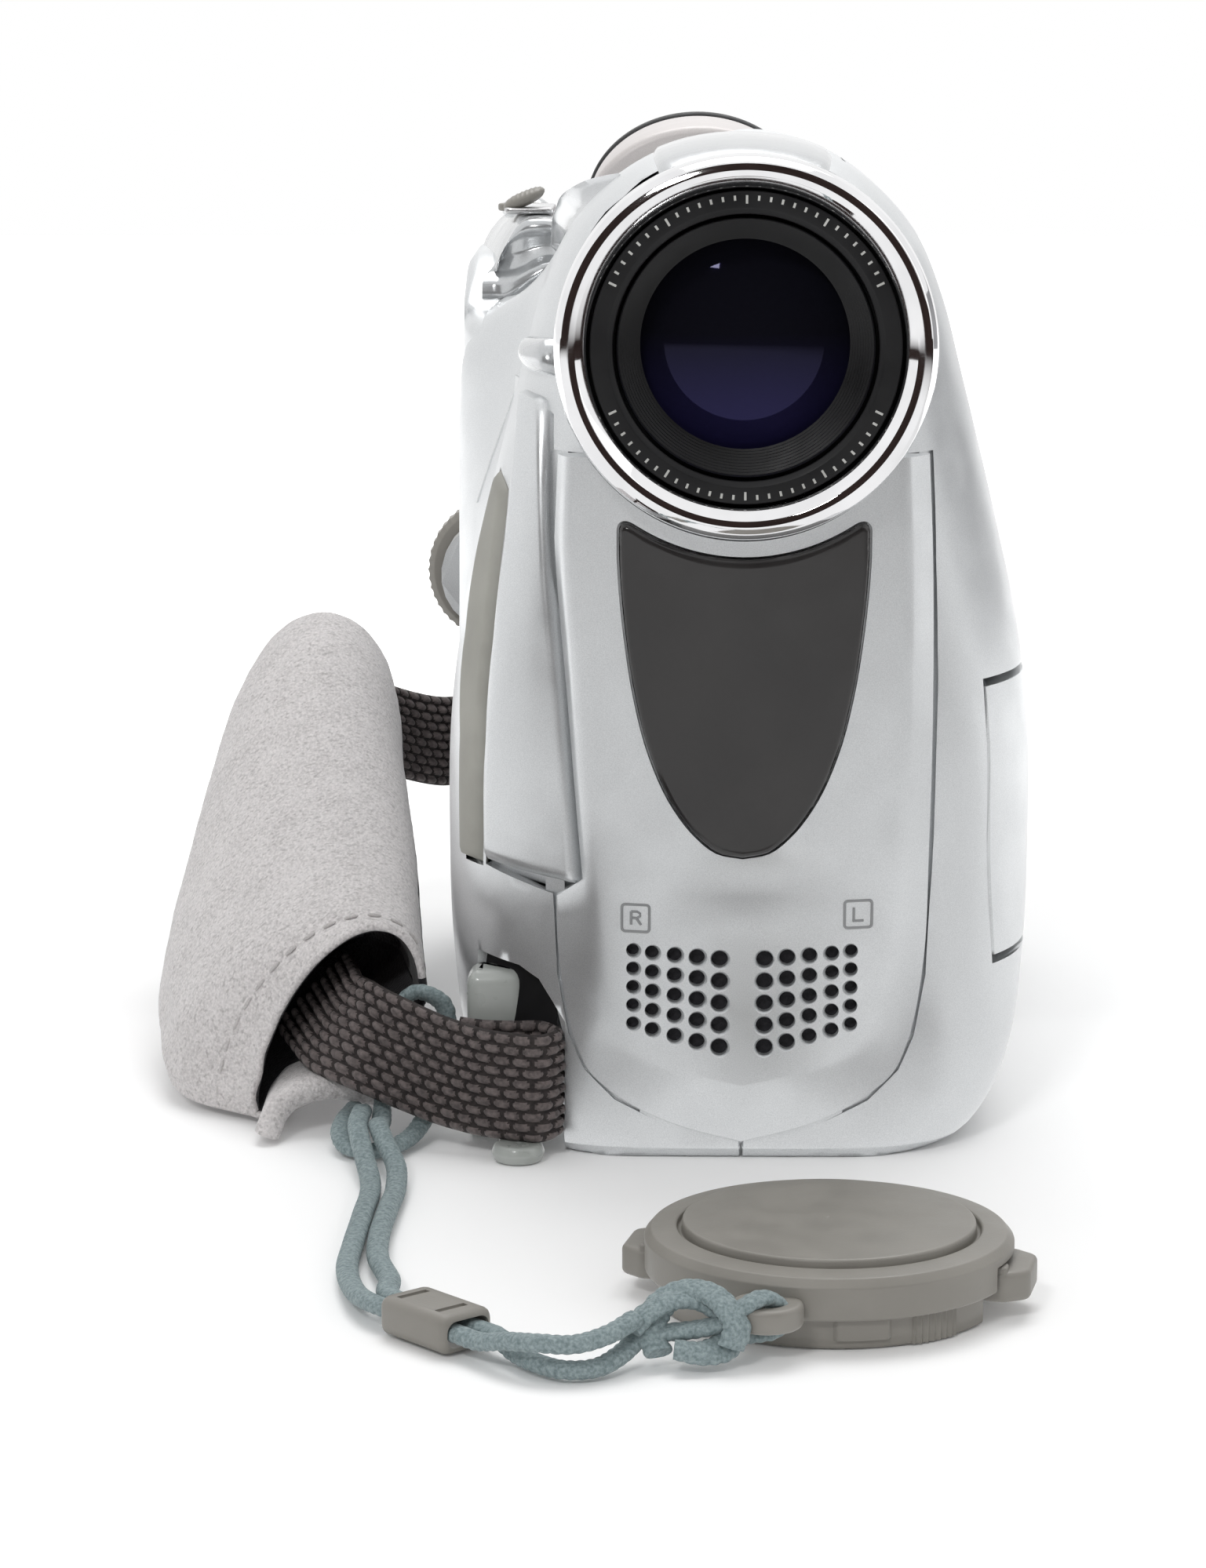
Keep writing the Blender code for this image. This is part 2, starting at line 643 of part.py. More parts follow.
def make_grip_side(case):
    cut(case, prism("scoop", scaled(STRAP_SCOOP), "Y", -70 * MM, -46 * MM))
    join(case, make_pod())
    cut(case, cylinder("well", "Z", (POD_CENTRE[0], PHOTO_BUTTON_Y), 2.9 * MM, 83.0 * MM, 90 * MM, 16))
    cut(case, finder_prism("cut", 0.5 * MM, 13.5 * MM, 70 * MM))
    cut(case, prism("terminals", scaled(grown(TERMINAL, 0.35)), "Y", -70 * MM, TERMINAL_BACK + GAP))
    strip_recess = prism("recess", scaled(grown(GRIP_STRIP, 0.2)), "Y", -70 * MM, -38 * MM)
    cut(case, cut(strip_recess, body_solid("inner", 1.3 * MM)))
    cut(case, mm_box("door", (-40, -7.35, 35.05), (-21.6, 43.55, 75.95)))
    cut(case, door_cylinder("knuckle", 2.9, -7.35, 43.55, 16), door_cylinder("pin", 1.0, -9.4, 43.9, 8))
    for low in (14.6, 29.8):
        join(case, mm_box("lug", (-32.6, 38.2, low), (-27.4, 41.4, low + 1.6)))
    join(case, cylinder("bar", "Z", REAR_BAR, 1.1 * MM, 15.2 * MM, 30.6 * MM, 10))
    finish(case, SILVER)


REAR_BAR = (-31.4 * MM, 39.8 * MM)
PHOTO_BUTTON_Y = 26.0 * MM


def door_cylinder(name, radius, start, end, segments=16):
    return cylinder(name, "Y", DOOR_AXIS, radius * MM, start * MM, end * MM, segments)


def make_cassette_cover(source):
    door = keep(source, mm_box("zone", (-40, -7.0, 35.4), (-22.0, 43.2, 75.6)))
    door.name = "cassette_cover"
    join(door, door_cylinder("knuckle", 1.7, -6.9, 43.1))
    cut(door, door_cylinder("bore", 1.0, -20, 60, 8))
    set_origin(finish(door, SILVER), (DOOR_AXIS[0], 18 * MM, DOOR_AXIS[1]))
    finish(door_cylinder("cassette_hinge_pin", 0.65, -9.0, 43.7, 8), STEEL)


def make_nose_trim():
    """The cover over the terminals and the rubber strip beside it, both following the nose."""
    zone = prism("zone", scaled(TERMINAL), "Y", -70 * MM, TERMINAL_BACK)
    cover = keep(body_solid("terminal_cover", -1.0 * MM), zone)
    cut(cover, body_solid("inner", 1.4 * MM))
    hinge_low, hinge_high = (Vector(end) * MM for end in TERMINAL_HINGE)
    set_origin(finish(cover, SILVER), (hinge_low + hinge_high) / 2)
    strip = keep(body_solid("finger_grip_strip", -0.5 * MM),
                 prism("zone", scaled(GRIP_STRIP), "Y", -70 * MM, -38 * MM))
    cut(strip, body_solid("inner", 1.0 * MM))
    finish(strip, RUBBER)
    block = mm_box("terminal_block", (-20.0, -45.6, 30), (-15.5, -41, 56))
    for height in (35, 43, 51):
        cut(block, cylinder("jack", "Y", (-17.8 * MM, height * MM), 1.7 * MM, -50 * MM, -43 * MM, 12))
    finish(block, BLACK)


# The flap turns about the line between these two points, along its outer edge on the grip side
TERMINAL_HINGE = ((-24.6, -49.0, 26.3), (-21.9, -44.0, 71.0))


# Controls

def make_controls():
    dial = turned("mode_dial", scaled([(8.4, 51.3), (8.4, 54.4), (7.7, 55.4), (5.2, 55.4), (5.2, 50.5),
                                       (7.6, 50.5)]), DIAL_CENTRE, 28)
    set_origin(finish(dial, GREY), (DIAL_CENTRE[0], 53 * MM, DIAL_CENTRE[1]))
    button = turned("start_stop_button", scaled([(0, 57.4), (3.4, 57.1), (4.8, 56.2), (4.8, 51.6),
                                                 (0, 51.6)]), DIAL_CENTRE, 24)
    set_origin(finish(button, GREY), (DIAL_CENTRE[0], 54 * MM, DIAL_CENTRE[1]))

    lever = cylinder("zoom_lever", "Z", LEVER_PIVOT, 3.9 * MM, 84.95 * MM, 86.0 * MM, 20)
    x, y = LEVER_PIVOT
    join(lever, box("arm", (x - 1.6 * MM, y - 8 * MM, 84.95 * MM), (x + 1.6 * MM, y - 2 * MM, 85.9 * MM)))
    join(lever, box("tab", (x - 2.1 * MM, y - 10 * MM, 84.97 * MM),
                    (x + 2.1 * MM, y - 6 * MM, 87.2 * MM)))
    set_origin(finish(lever, GREY), (x, y, 85.5 * MM))

    photo = turned("photo_button", scaled([(0, 85.8), (1.8, 85.7), (2.6, 85.1), (2.6, 83.8), (0, 83.8)]),
                   (POD_CENTRE[0], PHOTO_BUTTON_Y), 18, "Z")
    set_origin(finish(photo, SILVER), (POD_CENTRE[0], PHOTO_BUTTON_Y, 84.5 * MM))

    latch = prism("battery_latch", rounded((6 * MM, 60 * MM), (4.5 * MM, 1.7 * MM), 1.2 * MM), "Y",
                  50.4 * MM, 52 * MM)
    set_origin(finish(latch, GREY), (6 * MM, 51 * MM, 60 * MM))
    eject = prism("eject_slider", rounded((-18 * MM, 62 * MM), (4.5 * MM, 1.7 * MM), 1.2 * MM), "Y",
                  50.4 * MM, 52 * MM)
    set_origin(finish(eject, GREY), (-18 * MM, 51 * MM, 62 * MM))

    centre = ((BATTERY_LOW[0] + BATTERY_HIGH[0]) / 2, (BATTERY_LOW[2] + BATTERY_HIGH[2]) / 2)
    half = ((BATTERY_HIGH[0] - BATTERY_LOW[0]) / 2, (BATTERY_HIGH[2] - BATTERY_LOW[2]) / 2)
    rings = []
    for depth, shrink in ((BATTERY_LOW[1], 0.0), (59.4 * MM, 0.0), (60.6 * MM, 0.5 * MM),
                          (BATTERY_HIGH[1], 1.4 * MM)):
        outline = rounded(centre, (half[0] - shrink, half[1] - shrink), 2.5 * MM)
        rings.append([(u, depth, v) for u, v in outline])
    battery = rings_to_solid("battery_pack", rings)
    set_origin(finish(battery, GREY), (centre[0], 54 * MM, centre[1]))


def make_viewfinder():
    housing = finder_prism("viewfinder_housing", 0.0, 15 * MM, 53.6 * MM)
    cut(housing, cylinder("bore", "Y", FINDER_CENTRE, 7.3 * MM, 46 * MM, 60 * MM, 24))
    cut(housing, cylinder("bore", "Y", FINDER_CENTRE, 5.5 * MM, 10 * MM, 47 * MM, 20))
    eyecup = finder_prism("eyecup", 0.0, 53.95 * MM, 60.0 * MM)
    join(eyecup, finder_prism("lip", -0.5 * MM, 59 * MM, 61 * MM))
    cut(eyecup, finder_prism("opening", -2.4 * MM, 50 * MM, 70 * MM))
    lens = turned("eyepiece_lens", scaled([(0, 51.8), (4.0, 51.4), (7.0, 50.4), (7.0, 48.4), (4.0, 47.6),
                                           (0, 47.2)]), FINDER_CENTRE, 20)
    right = FINDER_CENTRE[0] + FINDER_RADII[0] + 0.3 * MM
    lever = box("dioptre_lever", (right, 51 * MM, 81.5 * MM), (right + 1.3 * MM, 53.2 * MM, 85.5 * MM))
    origin = (FINDER_CENTRE[0], 40 * MM, FINDER_CENTRE[1])
    for piece, look in ((housing, SILVER), (eyecup, RUBBER), (lens, GLASS), (lever, GREY)):
        set_origin(finish(piece, look), origin)


# Inside

def make_inside():
    board = mm_box("main_board", (13, -8, 9), (14.4, 41, 58))
    finish(board, BOARD)
    chassis = box("deck_chassis", (CHASSIS_X[0], -32 * MM, 9 * MM), (CHASSIS_X[1], 42 * MM, 58 * MM))
    cut(chassis, cylinder("hole", "X", CAPSTAN, 1.5 * MM, -10 * MM, 5 * MM, 10))
    finish(chassis, STEEL)
    drum = turned("head_drum", scaled([(0, -15.5), (9.8, -15.5), (10.85, -14.6), (10.85, -4.8),
                                       (9.8, -3.95), (0, -3.95)]), DRUM_CENTRE, 28, "X")
    set_origin(finish(drum, STEEL), (-9 * MM, *DRUM_CENTRE))
    for name, z in (("supply_reel_hub", 24 * MM), ("takeup_reel_hub", 52 * MM)):
        hub = turned(name, scaled([(0, -9.4), (2.4, -9.4), (2.8, -8.8), (2.8, -5.4), (4.6, -5.2),
                                   (4.6, -3.95), (0, -3.95)]), (REEL_DEPTH, z), 16, "X")
        for turn in range(3):
            fin_angle = 2 * math.pi * turn / 3
            fin = box("fin", (-9 * MM, 2.2 * MM, -0.5 * MM), (-5.6 * MM, 4.0 * MM, 0.5 * MM))
            fin.data.transform(Matrix.Translation((0, REEL_DEPTH, z)) @ Matrix.Rotation(fin_angle, 4, "X"))
            join(hub, fin)
        set_origin(finish(hub, BLACK), (-6 * MM, REEL_DEPTH, z))
    capstan = turned("capstan", scaled([(0, -16), (1.0, -16), (1.0, -2.05), (6.0, -2.05), (6.0, -0.5),
                                        (0, -0.5)]), CAPSTAN, 20, "X")
    set_origin(finish(capstan, STEEL), (-2 * MM, *CAPSTAN))
    holder = mm_box("cassette_holder", (-23.2, -6.4, 6.8), (-10.0, 42.4, 71.6))
    cut(holder, mm_box("inside", (-22.7, -5.9, 7.4), (-10.5, 41.9, 80)))
    cut(holder, mm_box("window", (-12, -1, 12), (-5, 37, 67)))
    set_origin(finish(holder, STEEL), (DOOR_AXIS[0], 18 * MM, DOOR_AXIS[1]))
    microphone = mm_box("stereo_microphone", (-7, -52.0, 14.8), (7, -51.0, 18.6))
    for side in (-1, 1):
        join(microphone, cylinder("capsule", "Y", (side * 5.2 * MM, 16.7 * MM), 2.6 * MM, -55.2 * MM,
                                  -51.4 * MM, 16))
    finish(microphone, BLACK)
    bush = turned("tripod_bush", scaled([(3.2, 0.15), (5.0, 0.15), (5.0, 2.6), (7.0, 2.9), (7.0, 4.0),
                                         (5.0, 4.2), (5.0, 7.4), (3.2, 7.4)]), (0, 14 * MM), 24, "Z")
    finish(bush, STEEL)


CAPSTAN = (-10.5 * MM, 20 * MM)


# Hand strap

PAD_STATIONS = [
    # depth, middle x, half width, tilt, middle z, crown, belly
    (-45.5, -38.65, 8.65, 5.75, 7.25, 9.6, 3.4),
    (-40.0, -42.2, 11.7, 6.0, 7.7, 10.0, 3.6),
    (-26.0, -44.9, 13.1, 6.2, 10.9, 10.6, 4.6),
    (-8.0, -46.2, 12.7, 5.4, 15.6, 11.6, 6.0),
    (10.0, -46.4, 10.8, 2.8, 21.8, 12.2, 8.0),
    (22.0, -46.35, 9.2, 1.0, 25.4, 12.2, 9.0),
    (28.0, -46.3, 7.6, 0.4, 26.8, 10.6, 8.4),
]


def pad_ring(station, shrink=0.0, points=20):
    """One closed outline of the padded sleeve: an oval with a higher crown, sheared to its tilt."""
    depth, middle_x, half, tilt, middle_z, crown, belly = station
    ring = []
    for i in range(points):
        turn = 2 * math.pi * i / points
        rise = math.sin(turn) * ((crown if math.sin(turn) > 0 else belly) - shrink)
        x = middle_x + (half - shrink) * math.cos(turn)
        z = middle_z + tilt * math.cos(turn) * (half - shrink) / half + rise
        ring.append((x * MM, depth * MM, z * MM))
    return ring


def make_pad():
    pad = rings_to_solid("hand_pad", [pad_ring(s) for s in PAD_STATIONS])
    mouth = [pad_ring((-46.5, *PAD_STATIONS[0][1:]), 1.7), pad_ring(PAD_STATIONS[0], 1.7),
             pad_ring(PAD_STATIONS[1], 2.6), pad_ring((-34.0, *PAD_STATIONS[1][1:]), 3.2)]
    cut(pad, rings_to_solid("mouth", mouth))
    return finish(pad, SUEDE, 60)


# Routes of the webbing as (x, y, z of its middle, lean of its width from upright in degrees)
WEBBING_FRONT = [(-26.6, -51.4, 7.0, 0), (-24.4, -52.2, 6.9, 0), (-21.5, -52.6, 6.9, 0),
                 (-18.9, -52.6, 6.9, 0), (-17.7, -54.0, 6.9, 0), (-17.6, -56.6, 6.9, 0),
                 (-18.9, -58.2, 6.9, 0), (-22.0, -57.6, 7.0, 0), (-27.0, -54.9, 7.4, 6),
                 (-32.5, -51.8, 8.8, 14), (-36.6, -49.0, 10.0, 24), (-38.9, -45.6, 10.2, 32),
                 (-40.4, -40.8, 10.6, 40), (-41.6, -36.6, 11.0, 46)]
WEBBING_REAR = [(-39.6, 28.4, 26.8, 0), (-38.6, 31.6, 25.8, 0), (-36.8, 34.8, 24.6, 0),
                (-34.6, 37.4, 23.6, 0), (-33.4, 39.6, 23.0, 0)]


def make_band(name, route, width):
    """A flat band through the route's points, its width upright or leaning."""
    middles = [Vector(p[:3]) * MM for p in route]
    rings = []
    for i, middle in enumerate(middles):
        run = (middles[min(i + 1, len(middles) - 1)] - middles[max(i - 1, 0)]).normalized()
        flat = Vector((run.x, run.y, 0)).normalized()
        across = flat.cross(Vector((0, 0, 1)))
        lean = math.radians(route[i][3])
        wide = (Vector((0, 0, math.cos(lean))) + across * math.sin(lean)) * width / 2
        thick = run.cross(wide).normalized() * WEBBING_THICKNESS / 2
        rings.append([middle + wide + thick, middle + wide - thick, middle - wide - thick,
                      middle - wide + thick])
    return finish(rings_to_solid(name, rings), WEBBING)


def make_strap():
    make_band("strap_webbing_front", WEBBING_FRONT, WEBBING_WIDTH)
    make_band("strap_webbing_rear", WEBBING_REAR, WEBBING_WIDTH)
    make_pad()
    loop = mm_box("strap_loop", (-25.4, -48.6, 0.3), (-20.2, -46.4, 15.2))
    for low, high in ((0.3, 1.3), (12.7, 14.6)):
        join(loop, mm_box("arm", (-23.0, -57.2, low), (-18.6, -48.0, high)))
    join(loop, cylinder("bar", "Z", STRAP_BAR, 1.2 * MM, 1.2 * MM, 13.8 * MM, 12))
    finish(loop, GREY)


# Lens cap and lanyard

CAP_TAB_TURN = math.radians(-12)
EYELET_TURN = math.radians(-109)
EYELET = (CAP_CENTRE[0] + 17.4 * MM * math.cos(EYELET_TURN),
          CAP_CENTRE[1] + 17.4 * MM * math.sin(EYELET_TURN))


def make_cap():
    profile = [(0, 3.2), (13.4, 3.2), (13.4, 0.1), (14.4, 0.1), (14.4, 2.4), (15.5, 2.8), (15.5, 5.6),
               (14.9, 6.2), (12.4, 6.2), (12.1, 7.0), (0, 7.0)]
    cap = turned("lens_cap", scaled(profile), CAP_CENTRE, 36, "Z")
    eyelet = turned("eyelet", scaled([(1.5, 2.9), (3.0, 2.9), (3.0, 4.7), (1.5, 4.7)]), EYELET, 16, "Z")
    join(cap, eyelet)
    turn = Matrix.Translation((*CAP_CENTRE, 0)) @ Matrix.Rotation(CAP_TAB_TURN, 4, "Z")
    for side in (-1, 1):
        near, far = sorted((side * 10.0 * MM, side * 20.0 * MM))
        slot = box("slot", (near, -4.4 * MM, -1 * MM), (far, 4.4 * MM, 5.0 * MM))
        slot.data.transform(turn)
        cut(cap, slot)
    set_origin(finish(cap, GREY), (*EYELET, 3.8 * MM))
    for name, side in (("cap_tab_left", -1), ("cap_tab_right", 1)):
        near, far = sorted((side * 11.6 * MM, side * 17.4 * MM))
        tab = box(name, (near, -4.0 * MM, 1.6 * MM), (far, 4.0 * MM, 4.6 * MM))
        tab.data.transform(turn)
        middle = turn @ Vector((side * 14 * MM, 0, 3 * MM))
        set_origin(finish(tab, GREY), middle)


SLIDER_CENTRE = (-25.75, -114.0, 1.85)
SLIDER_TURN = math.radians(-48)
SLIDER_HALF = (4.2, 2.65, 1.65)
STRAND_OFFSET = 1.05
STRAND_CLEARANCE = 0.25
KNOT_CENTRE = (-5.4, -119.4, 3.1)
KNOT_TURN = math.radians(12)


def slider_point(along, across):
    c, s = math.cos(SLIDER_TURN), math.sin(SLIDER_TURN)
    return (SLIDER_CENTRE[0] + along * c - across * s, SLIDER_CENTRE[1] + along * s + across * c,
            SLIDER_CENTRE[2])


def slider_pass(across):
    return [slider_point(along, across) for along in (-6.4, -4.6, 0.0, 4.6, 6.4)]


# Hand-picked route points in millimetres: the hitch behind the webbing, then each strand to the knot
HITCH = [(-37.0, -47.6, 2.2), (-37.8, -52.0, 1.9), (-37.8, -55.2, 1.5), (-36.9, -57.6, 1.0),
         (-35.2, -58.8, 1.0), (-33.6, -58.4, 1.0), (-32.2, -56.6, 1.1), (-30.9, -53.6, 1.4),
         (-29.4, -49.6, 3.6), (-28.2, -47.6, 8.6), (-28.6, -47.2, 12.6), (-31.0, -47.2, 13.6),
         (-33.2, -47.3, 11.4), (-34.0, -47.8, 7.4), (-34.2, -49.6, 3.4)]
STRAND_RIGHT = [(-34.1, -52.8, 2.3), (-34.0, -58.2, 3.1), (-33.3, -61.0, 2.5), (-32.0, -65.4, 1.5),
                (-31.6, -71.0, 1.0), (-31.9, -79.4, 1.0), (-32.1, -87.6, 1.0), (-31.8, -93.4, 1.0),
                (-30.4, -100.4, 1.2), *slider_pass(STRAND_OFFSET), (-19.0, -120.2, 1.1),
                (-17.2, -122.6, 1.0), (-15.0, -124.2, 1.0), (-12.8, -123.8, 1.0), (-10.8, -121.8, 1.4),
                (-9.4, -120.0, 2.2)]
STRAND_LEFT = [(-36.0, -51.6, 3.0), (-36.0, -57.8, 3.1), (-35.0, -63.8, 1.9), (-34.0, -70.0, 1.0),
               (-34.0, -80.4, 1.0), (-34.2, -89.9, 1.0), (-34.2, -96.8, 1.0), (-33.3, -103.0, 1.2),
               (-32.2, -107.2, 1.6), *slider_pass(-STRAND_OFFSET), (-19.6, -122.2, 2.7),
               (-17.2, -123.9, 3.1), (-14.4, -124.2, 3.1), (-11.6, -122.8, 3.5), (-9.5, -120.9, 4.2)]


def smooth_points(route, step):
    """Points at about even steps on a smooth curve through the route's points."""
    points = [Vector(p) for p in route]
    dense = []
    for i in range(len(points) - 1):
        before = points[max(i - 1, 0)]
        after = points[min(i + 2, len(points) - 1)]
        for k in range(12):
            t = k / 12
            a, b = points[i], points[i + 1]
            start, end = (b - before) / 2, (after - a) / 2
            dense.append((2 * t ** 3 - 3 * t ** 2 + 1) * a + (t ** 3 - 2 * t ** 2 + t) * start
                         + (3 * t ** 2 - 2 * t ** 3) * b + (t ** 3 - t ** 2) * end)
    dense.append(points[-1])
    kept = [dense[0]]
    for p in dense[1:-1]:
        if (p - kept[-1]).length >= step and (p - dense[-1]).length >= 0.6 * step:
            kept.append(p)
    kept.append(dense[-1])
    return kept


def make_cord(name, route):
    curve = bpy.data.curves.new(name, "CURVE")
    curve.dimensions = "3D"
    curve.bevel_depth = CORD_DIAMETER / 2
    curve.bevel_resolution = 2
    curve.use_fill_caps = True
    points = smooth_points(route, 2 * CORD_DIAMETER / MM)
    spline = curve.splines.new("POLY")
    spline.points.add(len(points) - 1)
    for slot, p in zip(spline.points, points):
        slot.co = (*(p * MM), 1.0)
    curve.materials.append(CORD)
    item = bpy.data.objects.new(name, curve)
    bpy.context.collection.objects.link(item)
    return item


def make_lanyard():
    make_cord("lanyard_strand_left", STRAND_LEFT)
    make_cord("lanyard_strand_right", HITCH + STRAND_RIGHT)
    length, width, height = SLIDER_HALF
    rings = []
    for level, inset in ((-height, 0.5), (0.5 - height, 0.0), (height - 0.5, 0.0), (height, 0.5)):
        outline = rounded((0, 0), (length - inset, width - inset), 0.8)
        rings.append([(x * MM, y * MM, level * MM) for x, y in outline])
    slider = rings_to_solid("cord_slider", rings)
    slot_height = CORD_DIAMETER / 2 + STRAND_CLEARANCE * MM
    slot = rounded((0, 0), (slot_height + STRAND_OFFSET * MM, slot_height), slot_height)
    cut(slider, prism("slot", slot, "X", -2 * length * MM, 2 * length * MM))
    slider.data.transform(Matrix.Translation(Vector(SLIDER_CENTRE) * MM) @ Matrix.Rotation(SLIDER_TURN, 4,
                                                                                           "Z"))
    finish(slider, GREY)
    profile = [(0, -3.6), (1.6, -3.2), (2.4, -1.8), (2.7, 0), (2.5, 1.6), (1.6, 2.7), (0, 3.0)]
    knot = turned("lanyard_knot", scaled(profile), (0, 0), 16, "X")
    knot.data.transform(Matrix.Translation(Vector(KNOT_CENTRE) * MM) @ Matrix.Rotation(KNOT_TURN, 4, "Z"))
    finish(knot, CORD)


def main():
    outer = body_solid("outer")
    make_shells(outer)
    make_lcd_panel(outer)
    make_front_panel()
    make_nameplate()
    make_lens()
    make_nose_trim()
    make_controls()
    make_viewfinder()
    make_inside()
    make_strap()
    make_cap()
    make_lanyard()
    bpy.data.objects.remove(outer, do_unlink=True)


main()
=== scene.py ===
"""Looks of a palm-size tape camcorder with its hand strap, lens cap and lanyard.

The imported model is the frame. Smooth shells, woven and padded parts and the cords are made here around it.
Sizes in the tables are millimetres; everything that is built is in metres.
"""

import json
import math

import bmesh
import bpy
import numpy as np
from mathutils import Matrix, Vector, noise
from mathutils.bvhtree import BVHTree
from mathutils.interpolate import poly_3d_calc


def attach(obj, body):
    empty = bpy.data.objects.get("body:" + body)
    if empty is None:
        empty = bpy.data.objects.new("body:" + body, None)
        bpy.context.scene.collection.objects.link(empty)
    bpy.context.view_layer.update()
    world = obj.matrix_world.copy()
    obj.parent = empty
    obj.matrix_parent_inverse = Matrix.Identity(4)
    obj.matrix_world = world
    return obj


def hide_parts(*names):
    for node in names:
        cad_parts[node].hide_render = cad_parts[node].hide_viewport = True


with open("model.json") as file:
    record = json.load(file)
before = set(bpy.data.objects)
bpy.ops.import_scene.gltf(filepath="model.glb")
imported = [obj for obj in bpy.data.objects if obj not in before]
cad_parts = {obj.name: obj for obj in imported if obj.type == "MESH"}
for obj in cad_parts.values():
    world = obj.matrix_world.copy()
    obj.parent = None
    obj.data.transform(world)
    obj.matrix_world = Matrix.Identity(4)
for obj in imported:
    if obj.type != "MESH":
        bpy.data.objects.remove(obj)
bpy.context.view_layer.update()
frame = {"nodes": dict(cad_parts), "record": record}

MM = 0.001
LENS_HEIGHT = 76.3
STRAIGHT_CORNER = 165  # degrees; corners flatter than this stay as they are
CUT_SHARP = 38  # degrees between faces that meet in a sharp edge after a cut
WELD = 2e-6

# Camera, from the photograph
IMAGE_HEIGHT = 1999
FOCAL_PIXELS = 5521
SENSOR = 36.0
CAMERA_PLACE = (-7.34, -452.0, 108.07)
CAMERA_PITCH = 10.378
CAMERA_YAW = 0.816


def make_camera():
    data = bpy.data.cameras.new("camera")
    data.sensor_width = SENSOR
    data.lens = SENSOR * FOCAL_PIXELS / IMAGE_HEIGHT
    data.clip_start = 0.01
    camera = bpy.data.objects.new("camera", data)
    camera.location = Vector(CAMERA_PLACE) * MM
    camera.rotation_euler = (math.radians(90 - CAMERA_PITCH), 0, math.radians(CAMERA_YAW))
    bpy.context.collection.objects.link(camera)
    bpy.context.scene.camera = camera


make_camera()


# Curves and meshes

def spline(points, steps, closed=False):
    """Points on a smooth curve through the given ones, with the same number of steps in each span."""
    p = np.array(points, float)
    ahead = np.roll(p, -1, 0)
    chord = np.linalg.norm(ahead - p, axis=1) + 1e-9
    slope = (ahead - p) / chord[:, None]
    before, weight = np.roll(slope, 1, 0), np.roll(chord, 1)
    tangent = (before * chord[:, None] + slope * weight[:, None]) / (chord + weight)[:, None]
    if not closed:
        tangent[0], tangent[-1] = slope[0], slope[-2]
    t = np.linspace(0, 1, steps, endpoint=False)[:, None]
    spans = []
    for i in range(len(p) if closed else len(p) - 1):
        j = (i + 1) % len(p)
        spans.append((2 * t ** 3 - 3 * t ** 2 + 1) * p[i] + (t ** 3 - 2 * t ** 2 + t) * chord[i] * tangent[i]
                     + (3 * t ** 2 - 2 * t ** 3) * p[j] + (t ** 3 - t ** 2) * chord[i] * tangent[j])
    if not closed:
        spans.append(p[-1:])
    return np.concatenate(spans)


def resampled(line, step):
    """The same line with points at even steps; columns after the third are carried along."""
    along = np.concatenate([[0], np.cumsum(np.linalg.norm(np.diff(line[:, :3], axis=0), axis=1))])
    at = np.linspace(0, along[-1], max(2, round(along[-1] / step) + 1))
    return np.stack([np.interp(at, along, line[:, k]) for k in range(line.shape[1])], axis=1)


def directions(line):
    """Unit directions along a line of points."""
    run = np.gradient(line, axis=0)
    return run / (np.linalg.norm(run, axis=1)[:, None] + 1e-12)


def sideways(line):
    """Unit directions across a flat line."""
    run = directions(line)
    return np.stack([-run[:, 1], run[:, 0]], axis=1)


def circle(count):
    """Cosine and sine at even turns."""
    return [(math.cos(t), math.sin(t)) for t in np.linspace(0, 2 * math.pi, count, endpoint=False).tolist()]


def rounded_corners(points, radius, steps=4):
    """A closed outline with each corner replaced by an arc; the arc shrinks where the sides are short."""
    p = [Vector(q) for q in points]
    made = []
    for i, corner in enumerate(p):
        back, on = p[i - 1] - corner, p[(i + 1) % len(p)] - corner
        turn = back.angle(on)
        reach = min(radius / math.tan(turn / 2), 0.45 * back.length, 0.45 * on.length)
        if turn > math.radians(STRAIGHT_CORNER):
            made.append(tuple(corner))
            continue
        a, b = corner + back.normalized() * reach, corner + on.normalized() * reach
        for k in range(steps + 1):
            t = k / steps
            made.append(tuple((1 - t) ** 2 * a + 2 * t * (1 - t) * corner + t ** 2 * b))
    return made


def rounded_box_outline(centre, half, radius, steps=6):
    corners = [(centre[0] + u * half[0], centre[1] + v * half[1]) for u, v in ((-1, -1), (1, -1), (1, 1), (-1, 1))]
    return rounded_corners(corners, radius, steps)


def add_mesh(name, vertices, faces, looks, sharp=40, tags=None):
    """An object from points in metres, its faces turned outwards; tags pick each face's material."""
    work = bmesh.new()
    points = [work.verts.new(v) for v in vertices]
    for i, face in enumerate(faces):
        corners = list(dict.fromkeys(face))
        if len(corners) > 2:
            made = work.faces.new([points[c] for c in corners])
            made.material_index = tags[i] if tags else 0
    bmesh.ops.remove_doubles(work, verts=work.verts, dist=1e-7)
    bmesh.ops.recalc_face_normals(work, faces=work.faces)
    return from_bmesh(name, work, looks, sharp)


def from_bmesh(name, work, looks, sharp=40):
    mesh = bpy.data.meshes.new(name)
    work.to_mesh(mesh)
    work.free()
    mesh.shade_smooth()
    mesh.set_sharp_from_angle(angle=math.radians(sharp))
    for look in looks if isinstance(looks, (list, tuple)) else [looks]:
        mesh.materials.append(look)
    item = bpy.data.objects.new(name, mesh)
    bpy.context.collection.objects.link(item)
    return item


